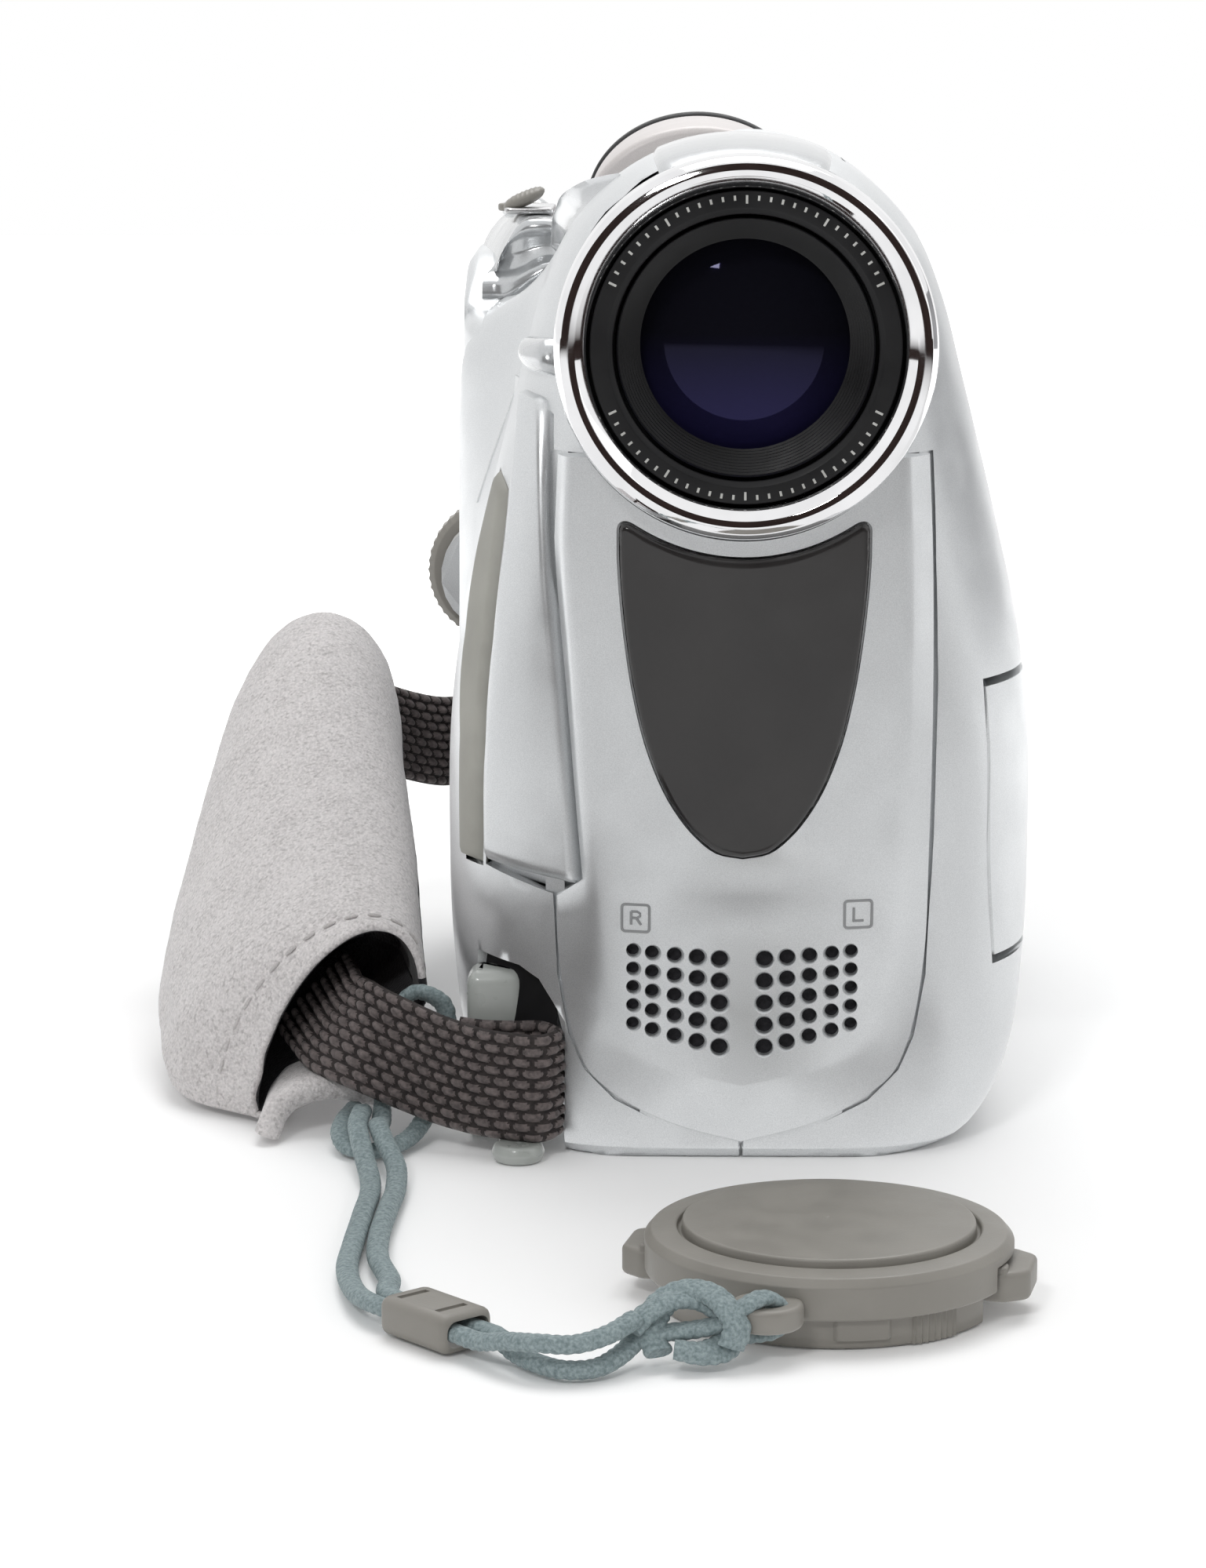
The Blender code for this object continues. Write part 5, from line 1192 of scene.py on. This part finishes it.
def make_webbing(name, route, node):
    """A woven band along a route of places and leans, with painted shade in the gaps between its knobs."""
    line = resampled(spline(route, 24), WEBBING_STEP)
    half = WEBBING_WIDTH / 2
    places = np.linspace(-half, half, 61).tolist()
    section = [(1, across) for across in places] + [(-1, across) for across in places[::-1]]
    up = Vector((0, 0, 1))
    rings = []
    for i, (p, ahead) in enumerate(zip(line, np.gradient(line[:, :3], axis=0))):
        ahead = Vector(ahead).normalized()
        flat = ahead.cross(up).normalized()
        lean = math.radians(p[3])
        wide = (up * math.cos(lean) + flat * math.sin(lean)).normalized()
        thick = ahead.cross(wide).normalized()
        ring = []
        for way, across in section:
            edge = math.sqrt(max(0.0, 1 - (abs(across) / half) ** 8))
            rise = (WEBBING_CORE + knob(i * WEBBING_STEP, across + 20 * KNOB_WIDTH)) * edge
            ring.append(Vector(p[:3]) + wide * across + thick * way * rise)
        rings.append(ring)

    # faces deep between the knobs take the painted shade
    def in_shaded_gap(level, i):
        return int(knob((level + 0.5) * WEBBING_STEP, section[i][1] + 20 * KNOB_WIDTH) < SHADED_GAP_HEIGHT)

    band = lofted(name, rings, [WEBBING, WEBBING_GAP_SHADE], sharp=180, tag=in_shaded_gap)
    mount(band, node, slot="strap_webbing")


def make_loop():
    """The loop that carries the webbing: a knuckle in its pocket, two arms, the bar and a round foot; a black sheet
    behind the pocket paints its shade.
    """
    knuckle = rounded_box_outline((-23.3, -47.9), (2.75, 2.5), 1.2)
    arm = rounded_box_outline((-20.8, -52.6), (2.0, 4.5), 1.5)
    parts = [prism("block", outline, "Z", low, high, LOOP_GREY, edge) for outline, low, high, edge in (
        (knuckle, 0.4, 16.4, 1.5), (arm, 0.3, 1.5, 0.3), (arm, 8.9, 9.7, 0.3))]
    foot = rounded_corners([(0, 0.05), (2.2, 0.05), (2.5, 0.9), (2.2, 1.75), (0, 1.75)], 0.5, 4)
    parts.append(turned("foot", foot, (-20.9, -58.4), LOOP_GREY, "Z", 48))
    parts.append(turned("bar", [(0, 0.8), (1.2, 0.8), (1.2, 9.6), (0, 9.6)], (-20.1, -55.4), LOOP_GREY, "Z", 40))
    mount(joined("strap_loop_moulding", parts), "strap_loop", slot="grey_plastic")
    # painted shade: a black sheet just behind the case's surface makes the pocket round the knuckle look dark
    columns = np.linspace(-26.6, -17.4, 14).tolist()
    section = [(x, POCKET_SHADE_DEPTH) for x in columns] + [(x, POCKET_SHADE_DEPTH + 0.4) for x in columns[::-1]]
    rows = [[(x, nose_depth(x, z) + depth, z) for x, depth in section] for z in np.linspace(1.5, 19.5, 16)]
    mount(lofted("pocket_shade_lining", rows, BLACK), slot="black_plastic")


make_pad()
make_lip()
make_stitches()
make_webbing("webbing_front", WEBBING_FRONT, "strap_webbing_front")
make_webbing("webbing_rear", WEBBING_REAR, "strap_webbing_rear")
make_loop()


# Lens cap

CAP_CENTRE = (6.6, -101.5)
CAP_TURN, EYE_TURN, EYE_REACH = math.radians(-12), math.radians(-109), 17.2
CLIP_INNER, CLIP_BASE = 13.6, 14.0
CAP_CLIPS = (
    # first and last angle, radius, bottom, top, ribs
    (-92, -70, 14.75, 0.9, 2.7, 0), (-66, -44, 14.7, 0.15, 2.7, 9))
CAP_PROFILE = [
    (0, 3.4), (13.4, 3.4), (13.4, 0.1), (14.4, 0.1), (14.4, 2.5), (15.5, 2.8), (15.5, 5.5), (14.9, 6.2),
    (12.75, 6.45), (12.7, 5.9), (12.35, 5.9), (12.3, 7.0), (0, 7.05)]


def cap_place(item, turn=0.0):
    """Moves a mesh made round the origin to where the cap lies."""
    item.data.transform(Matrix.Translation(Vector((*CAP_CENTRE, 0)) * MM) @ Matrix.Rotation(turn, 4, "Z"))
    return item


def cap_clip(first, last, reach, low, high, ribs):
    """A springy clip on the cap's rim, ribbed or plain."""
    rings = []
    for share in np.linspace(0, 1, 60):
        angle = math.radians(first + (last - first) * share)
        wave = 0.24 * abs(math.sin(math.pi * ribs * share))
        radius = CLIP_BASE + (reach - CLIP_BASE) * min(1.0, 8 * share, 8 * (1 - share)) - wave
        corners = ((CLIP_INNER, low), (radius, low), (radius, high), (CLIP_INNER, high))
        rings.append([(r * math.cos(angle), r * math.sin(angle), z) for r, z in corners])
    return lofted("clip", rings, GREY, sharp=35)


def make_cap():
    cap = turned("cap", rounded_corners(CAP_PROFILE, 0.34, 4), (0, 0), GREY, "Z", 192)
    for way in (-1, 1):
        slot = prism("slot", rounded_box_outline((way * 15.4, 0), (3.6, 4.5), 0.5), "Z", -1.0, 4.9, GREY)
        slot.data.transform(Matrix.Rotation(CAP_TURN, 4, "Z"))
        cut(cap, slot)
    eye = (EYE_REACH * math.cos(EYE_TURN), EYE_REACH * math.sin(EYE_TURN))
    lug = rounded_corners([(1.4, 2.7), (3.0, 2.7), (3.0, 4.7), (1.4, 4.7)], 0.5, 4)
    parts = [cap, turned("lug", lug, eye, GREY, "Z", 64)] + [cap_clip(*clip) for clip in CAP_CLIPS]
    mount(cap_place(joined("lens_cap_moulding", parts)), "lens_cap", body="cap", slot="grey_plastic")
    for way, side in ((-1, "left"), (1, "right")):
        corners = [(13.1, -3.9), (15.4, -3.9), (17.3, -2.5), (17.3, 2.5), (15.4, 3.9), (13.1, 3.9)]
        outline = rounded_corners([(way * u, v) for u, v in corners], 1.2, 6)
        plate = prism("plate", outline, "Z", 1.7, 4.3, GREY, 0.5)
        post = prism("post", rounded_box_outline((way * 14.7, -3.0), (0.8, 0.75), 0.3), "Z", 2.4, 4.75, GREY, 0.25)
        tab = cap_place(joined("cap_tab_" + side + "_moulding", [plate, post]), CAP_TURN)
        mount(tab, "cap_tab_" + side, body="tab_" + side, slot="grey_plastic")


make_cap()


# Shoulder: zoom housing, lever, photo button and the facet beside the lens

POD_SIDE = [
    (-0.6, 75.6), (-1.5, 76.9), (-1.1, 78.2), (0.5, 79.4), (1.1, 81.2), (0.6, 82.9), (-0.3, 83.8), (0.2, 84.8),
    (2.2, 85.0), (28.4, 84.9), (30.3, 83.4), (30.7, 75.6)]
POD_LEFT, POD_RIGHT, POD_MIDDLE = -27.6, -18.1, 15.0
POD_FOOT, POD_EAVES, POD_BROW, POD_SKIRT = 76.0, 79.0, 83.5, 5.0  # the brow ends the hollow front at the top
# Depth, side, top and bottom of the case's shoulder below the housing; it ends above the cassette cover
SHOULDER = [
    (-16.0, -23.8, 73.0, 62.0), (-12.0, -26.0, 74.6, 62.0), (-8.0, -27.4, 75.2, 62.0), (-4.0, -28.0, 75.4, 62.0),
    (-0.8, -28.2, 75.8, 62.0), (-0.4, -28.2, 76.2, 74.6), (2.0, -28.3, 77.6, 74.7), (5.0, -28.3, 79.2, 74.8),
    (8.0, -28.3, 80.2, 74.8), (11.0, -28.3, 80.7, 74.8), (30.0, -28.3, 80.8, 74.8), (32.5, -27.4, 79.8, 74.8)]
SHOULDER_INNER, SHOULDER_ROUND = -19.5, 2.0
# Places across the housing, and how far its top lies lower there
POD_DROPS = (
    (0.0, 5.6), (0.2, 4.6), (0.6, 3.6), (1.2, 2.6), (1.9, 1.7), (2.7, 0.9), (3.6, 0.35), (4.6, 0.1), (5.8, 0.0),
    (7.2, 0.0), (8.3, 0.12), (8.9, 0.4), (9.3, 0.85), (9.5, 1.5))


def make_pod():
    """The glossy housing under the zoom lever, with a hollow front and a lip below it that rises to the right."""
    outline = rounded_corners(POD_SIDE, 1.0, 6)
    rings = []
    for across, drop in POD_DROPS:
        rise = 0.42 * smoothstep(across, 2.0, 8.5)
        ring = []
        for y, z in outline:
            narrow = (1 - smoothstep(y, 0.0, 9.0)) * (0.13 + 0.026 * max(0.0, z - 78.0))
            x = POD_RIGHT - (POD_RIGHT - POD_LEFT - across) * (1 - narrow)
            if POD_FOOT < z < POD_BROW and y < 5:
                z = POD_BROW - (POD_BROW - z) * (1 - rise)
            skirt = POD_SKIRT * (1 - smoothstep(across, 0.0, 3.5)) if z < POD_FOOT else 0.0
            z -= max(0.0, z - POD_EAVES) / 6 * drop + skirt
            ring.append((x, POD_MIDDLE + (y - POD_MIDDLE) * (1 - min(drop, 1.5) / 16), z))
        rings.append(ring)
    mount(lofted("zoom_housing", rings, GLOSS_SILVER, sharp=50))


def make_shoulder():
    """The rounded fairing of the case under the zoom housing."""
    rings = []
    for y, side, top, bottom in SHOULDER:
        centre = ((side + SHOULDER_INNER) / 2, (top + bottom) / 2)
        half = ((SHOULDER_INNER - side) / 2, (top - bottom) / 2)
        rings.append([(x, y, z) for x, z in rounded_box_outline(centre, half, SHOULDER_ROUND)])
    mount(lofted("deck_shoulder", rings, SILVER, sharp=50))


LEVER_TILT, LEVER_LEFT, LEVER_WIDTH, LEVER_RIBS = 0.4, -24.3, 4.3, 9


def make_zoom_lever():
    """The lever: a disc on its pivot, an arm, and a ribbed tab for the finger."""
    disc = rounded_corners([(0, 84.95), (2.6, 84.95), (2.6, 85.7), (0, 85.8)], 0.25)
    arm = rounded_box_outline((-21.6, 9.2), (2.6, 5.0), 0.8)
    rings = []
    for share in np.linspace(0, 1, 73):
        x = LEVER_LEFT + LEVER_WIDTH * share
        crown = math.sqrt(max(0.03, 1 - abs(2 * share - 1) ** 3))
        rib = 1 - 0.1 * abs(math.sin(math.pi * LEVER_RIBS * share))
        ring = []
        for c, s in circle(28):
            y, z = 1.9 * crown * c, 0.85 * crown * s
            ring.append((x, 6.2 + y, 86.55 + (x + 22.3) * LEVER_TILT + z * (rib if z > -0.2 else 1.0)))
        rings.append(ring)
    parts = [turned("disc", disc, (-22.6, 15.0), GREY, "Z", 64), prism("arm", arm, "Z", 85.1, 85.75, STEEL, 0.25),
             lofted("tab", rings, GREY, sharp=30)]
    mount(joined("zoom_lever_moulding", parts), "zoom_lever", body="zoom_rocker", slot="grey_plastic")


def make_photo_button():
    profile = rounded_corners([(0, 85.8), (1.8, 85.7), (2.6, 85.1), (2.6, 83.9), (0, 83.9)], 0.3)
    button = turned("photo_button_cap", profile, (-22.6, 26.0), GLOSS_SILVER, "Z", 64)
    mount(button, "photo_button", body="photo_key")


FACET_LEFT = [
    (-19.0, -4.0, 82.3), (-18.8, -8.0, 83.9), (-18.6, -12.0, 85.4), (-18.1, -16.0, 86.8), (-17.6, -20.0, 88.0),
    (-16.6, -24.0, 89.0), (-15.1, -27.0, 89.9), (-13.4, -30.0, 90.5), (-11.8, -33.0, 90.9)]
FACET_RIGHT = [
    (-17.3, -30.0, 82.8), (-16.7, -32.0, 83.8), (-15.8, -34.0, 84.9), (-14.9, -36.0, 85.9), (-14.1, -38.0, 87.1),
    (-13.4, -40.0, 88.1), (-12.8, -41.0, 89.1), (-12.2, -42.0, 90.1), (-11.7, -43.0, 91.0)]


def make_facet():
    """The leaf-shaped hollow shoulder between the zoom housing and the lens."""
    rings = []
    for left, right in zip(spline(FACET_LEFT, 6), spline(FACET_RIGHT, 6)):
        left, right = Vector(left), Vector(right)
        right = SKIN.at(right * MM)[0] / MM - Vector((0, 0, 0.1))
        hollow = Vector((0.5, 1.0, -0.5)) * min(1.6, 0.12 * (right - left).length)
        face = [left.lerp(right, t) + hollow * 4 * t * (1 - t) for t in np.linspace(0, 1, 13).tolist()]
        rim = [left + Vector((-0.15, 0.35, -0.05)), left + Vector((0.2, 1.2, -0.2))]
        back = Vector((left.x + 3.0, left.y + 9.0, left.z - 3.5))
        rings.append(rim[::-1] + face + [right + Vector((1.5, 4.0, -1.5)), back])
    mount(lofted("shoulder_facet", rings, GLOSS_SILVER, sharp=45))


make_pod()
make_shoulder()
make_zoom_lever()
make_photo_button()
make_facet()


# Viewfinder and rear controls

FINDER_CENTRE, FINDER_RADII = (-3.6, 83.5), (12.6, 10.4)
EYECUP_PROFILE = [(-0.35, 54.0), (2.6, 54.0), (3.4, 57.5), (2.2, 60.9), (0.6, 60.9), (-0.35, 58.5)]
EYEPIECE_PROFILE = [(0, 51.8), (2, 51.7), (4, 51.4), (5.6, 51.0), (7.0, 50.4), (7.0, 48.4), (4, 47.6), (0, 47.2)]


def finder_oval(inset=0.0):
    """The viewfinder's oval outline, moved in by inset."""
    return [(FINDER_CENTRE[0] + (FINDER_RADII[0] - inset) * c, FINDER_CENTRE[1] + (FINDER_RADII[1] - inset) * s)
            for c, s in circle(128)]


def make_viewfinder():
    housing = prism("viewfinder_shell", finder_oval(), "Y", 15.0, 53.6, FINDER_GREY, 0.8)
    cut(housing, turned("bore", [(0, 46.5), (7.3, 46.5), (7.3, 60), (0, 60)], FINDER_CENTRE, BLACK))
    mount(housing, "viewfinder_housing", body="viewfinder")
    rings = [[(x, y, z) for x, z in finder_oval(inset)] for inset, y in rounded_corners(EYECUP_PROFILE, 0.6)]
    cup = lofted("eyecup_rubber_ring", rings + rings[:1], EYECUP_RUBBER, caps=False)
    mount(cup, "eyecup", body="viewfinder", slot="grip_rubber")
    lens = turned("eyepiece_glass", EYEPIECE_PROFILE, FINDER_CENTRE, GLASS, segments=64)
    mount(lens, "eyepiece_lens", body="viewfinder", slot="coated_glass")


DIAL_CENTRE, DIAL_GRIPS = (-26.6, 41.4), 24
DIAL_PROFILE = [(8.4, 51.3), (8.4, 54.4), (7.7, 55.4), (5.2, 55.4), (5.2, 50.5), (7.6, 50.5)]
DIAL_TICK = ((5.9, -0.16), (7.1, -0.16), (7.1, 0.16), (5.9, 0.16))


def make_dial():
    """A layered dial with a fine grip round its edge and plain ticks, and the button in its middle."""
    x0, z0 = DIAL_CENTRE
    profile = rounded_corners(DIAL_PROFILE, 0.3)
    rings = []
    for turn in np.linspace(0, 2 * math.pi, 361).tolist():
        grip = 0.16 * abs(math.sin(turn * DIAL_GRIPS))
        ring = [(r - grip * smoothstep(r, 8.0, 8.3), y) for r, y in profile]
        rings.append([(x0 + r * math.cos(turn), y, z0 + r * math.sin(turn)) for r, y in ring])
    parts = [lofted("dial", rings, GREY, caps=False)]
    for turn in np.radians((30, 60, 90, 120, 150)).tolist():
        c, s = math.cos(turn), math.sin(turn)
        tick = [(x0 + u * c - v * s, z0 + u * s + v * c) for u, v in DIAL_TICK]
        parts.append(lofted("tick", [[(x, y, z) for x, z in tick] for y in (55.3, 55.46)], MARKING))
    mount(joined("mode_dial_moulding", parts), "mode_dial", body="dial", slot="grey_plastic")
    cap = rounded_corners([(0, 57.4), (3.4, 57.1), (4.8, 56.2), (4.8, 51.7), (0, 51.7)], 0.5, 5)
    button = turned("start_stop_cap", cap, DIAL_CENTRE, GLOSS_SILVER, segments=96)
    mount(button, "start_stop_button", body="record_key", slot="grey_plastic")


make_viewfinder()
make_dial()


# The other nodes: softened copies of the outside ones, and the finishes of the inside ones

SOFTENED = (
    # node, body, look, edge radius, slot
    ("battery_pack", "battery", GREY, 0.8, "grey_plastic"), ("battery_latch", "latch", GREY, 0.3, "grey_plastic"),
    ("eject_slider", "eject_key", GREY, 0.3, "grey_plastic"), ("dioptre_lever", "dioptre", GREY, 0.25, "grey_plastic"),
    ("play_button", "play_key", GREY, 0.2, "grey_plastic"), ("stop_button", "stop_key", GREY, 0.2, "grey_plastic"),
    ("lcd_frame", "lcd_panel", BLACK, 0.3, "black_plastic"))
SLOT_LOOKS = {"silver_paint": SILVER, "chrome": CHROME, "black_plastic": BLACK, "nameplate_gloss": NAMEPLATE_GREY,
              "coated_glass": GLASS, "lcd_glass": SCREEN, "grey_plastic": GREY, "grip_rubber": RUBBER, "steel": STEEL,
              "circuit_board": BOARD, "suede": SUEDE, "strap_webbing": WEBBING, "lanyard_cord": CORD}


def make_softened():
    """CAD nodes again with their edges rounded."""
    for node, body, look, width, slot in SOFTENED:
        work = node_bmesh(node)
        bmesh.ops.dissolve_limit(work, angle_limit=math.radians(1), verts=work.verts, edges=work.edges)
        edges = [e for e in work.edges if len(e.link_faces) == 2 and e.calc_face_angle(0) > math.radians(30)]
        round_edges(work, edges, width)
        mount(from_bmesh(node + "_moulding", work, look, 35), node, body=body, slot=slot)


def finish_nodes():
    """Puts the looks on the CAD nodes that show as they are."""
    for row in frame["record"]["subparts"]:
        for slot in frame["nodes"][row["node"]].material_slots:
            slot.material = SLOT_LOOKS[row["material_slot"]]


make_softened()
finish_nodes()


# Stage and light: sizes in metres

FILL_LIGHT = 0.5
FLOOR_LIFT = (0.02, 0.5)
LIFT_REACH = (0.11, 0.32)
STAGE_CENTRE = (-0.01, -0.04, 0)
TABLE_CENTRE = (-0.16, -0.3)
ROOM_FADE = (0.36, 0.75)
ROOM_COLOUR = (0.035, 0.024, 0.022)
WALL_COLOUR = (0.4, 0.4, 0.41)
UPRIGHT = math.pi / 2
CARDS = (
    # name, centre, size, turn, colour, distances between which it fades in
    ("room", (0, -1.6, 0.95), (7.0, 1.9), (UPRIGHT, 0, 0), ROOM_COLOUR, None),
    ("room_floor", (0, -1.05, 0.001), (7.0, 2.1), (0, 0, 0), ROOM_COLOUR, ROOM_FADE),
    ("room_left", (-1.2, -1.1, 0.2), (1.0, 0.4), (UPRIGHT, 0, UPRIGHT), ROOM_COLOUR, None),
    ("room_right", (0.7, 0.45, 0.14), (0.7, 0.26), (UPRIGHT, 0, -1.0), WALL_COLOUR, None),
    # painted shade: a dark card by the nose, seen only in reflections, darkens the reflections of the case's lower
    # left
    ("painted_shade_card", (-0.036, -0.06, 0.011), (0.06, 0.022), (UPRIGHT, 0, UPRIGHT), ROOM_COLOUR, None),
)
LAMPS = (
    # name, place, size, watts, aimed at
    ("key", (-0.35, -1.0, 0.8), (0.24, 0.12), 3.2, (0, -0.02, 0.04)),
    ("top", (0.05, 0.5, 1.15), (0.9, 0.9), 9.5, (0, 0, 0)),
    ("side", (0.9, -0.45, 0.55), (0.7, 0.7), 0.8, (0, -0.02, 0.04)),
)


def stage_plane(name, centre, size, turn, look):
    wide, high = size[0] / 2, size[1] / 2
    mesh = bpy.data.meshes.new(name)
    mesh.from_pydata([(-wide, -high, 0), (wide, -high, 0), (wide, high, 0), (-wide, high, 0)], [], [(0, 1, 2, 3)])
    mesh.materials.append(look)
    plane = bpy.data.objects.new(name, mesh)
    plane.location = centre
    plane.rotation_euler = turn
    bpy.context.collection.objects.link(plane)
    return plane


def seen_directly(tree):
    """1 for rays from the camera, in mirrors and through glass, otherwise 0."""
    path = tree.nodes.new("ShaderNodeLightPath")
    total = path.outputs["Is Camera Ray"]
    for way in ("Is Glossy Ray", "Is Transmission Ray"):
        more = tree.nodes.new("ShaderNodeMath")
        more.operation = "MAXIMUM"
        tree.links.new(total, more.inputs[0])
        tree.links.new(path.outputs[way], more.inputs[1])
        total = more.outputs[0]
    return total


def make_floor():
    """A white floor that keeps the shadow; what the camera and mirrors see of it is lifted to white further out."""
    look = Look("floor_white", Roughness=0.75)
    look.set("Base Color", look.blended(look.noise(40.0, 2.0), (0.955, 0.955, 0.955), (0.965, 0.965, 0.965)))
    look.shader.inputs["Emission Color"].default_value = (1, 1, 1, 1)
    far = look.node("ShaderNodeVectorMath", {0: look.where, 1: STAGE_CENTRE}, operation="DISTANCE").outputs["Value"]
    lift = look.spread(far, *LIFT_REACH, *FLOOR_LIFT)
    seen = look.node("ShaderNodeMath", {0: seen_directly(look.tree), 1: lift}, operation="MULTIPLY").outputs[0]
    look.set("Emission Strength", seen)
    stage_plane("floor", (0, 0, 0), (3.0, 3.0), (0, 0, 0), look.material)


def reflected_card(name, centre, size, turn, colour, fade):
    """A card that shows in glossy surfaces only, and neither lights nor shades the object.

    With fade, it turns from white to its colour between two distances from the middle of the table.
    """
    look = Look(name, Roughness=1.0, Emission_Strength=1.0)
    look.shader.inputs["Specular IOR Level"].default_value = 0.0
    look.shader.inputs["Base Color"].default_value = (0, 0, 0, 1)
    dark = tuple(c * 0.7 for c in colour)
    shade = look.blended(look.spread(look.noise(300.0, 2.0), 0.35, 0.65), dark, colour)
    if fade:
        middle = (TABLE_CENTRE[0] - centre[0], TABLE_CENTRE[1] - centre[1], 0)
        far = look.node("ShaderNodeVectorMath", {0: look.where, 1: middle}, operation="DISTANCE").outputs["Value"]
        shade = look.blended(look.spread(far, *fade), (1, 1, 1), shade)
    look.set("Emission Color", shade)
    card = stage_plane(name, centre, size, turn, look.material)
    card.visible_camera = card.visible_diffuse = card.visible_shadow = card.visible_transmission = False


def make_room():
    """What glossy surfaces show of the room: dark in front and to the left, grey wall, and a dark card beside the nose
    that paints shade into the reflections of the case's lower left.
    """
    for card in CARDS:
        reflected_card(*card)


def make_world():
    """A white surround: full white to the camera and in reflections, a little less as fill light."""
    world = bpy.data.worlds.new("studio")
    bpy.context.scene.world = world
    world.use_nodes = True
    tree = world.node_tree
    strength = tree.nodes.new("ShaderNodeMapRange")
    strength.inputs["To Min"].default_value = FILL_LIGHT
    strength.inputs["To Max"].default_value = 1.0
    tree.links.new(seen_directly(tree), strength.inputs["Value"])
    background = tree.nodes["Background"]
    background.inputs["Color"].default_value = (1, 1, 1, 1)
    tree.links.new(strength.outputs["Result"], background.inputs["Strength"])


def make_lamps():
    for name, centre, size, watts, target in LAMPS:
        data = bpy.data.lights.new(name, "AREA")
        data.shape = "RECTANGLE"
        data.size, data.size_y, data.energy = *size, watts
        lamp = bpy.data.objects.new(name, data)
        lamp.location = centre
        lamp.rotation_euler = (Vector(target) - Vector(centre)).to_track_quat("-Z", "Y").to_euler()
        bpy.context.collection.objects.link(lamp)


make_floor()
make_room()
make_world()
make_lamps()
bpy.context.scene.view_settings.view_transform = "Standard"
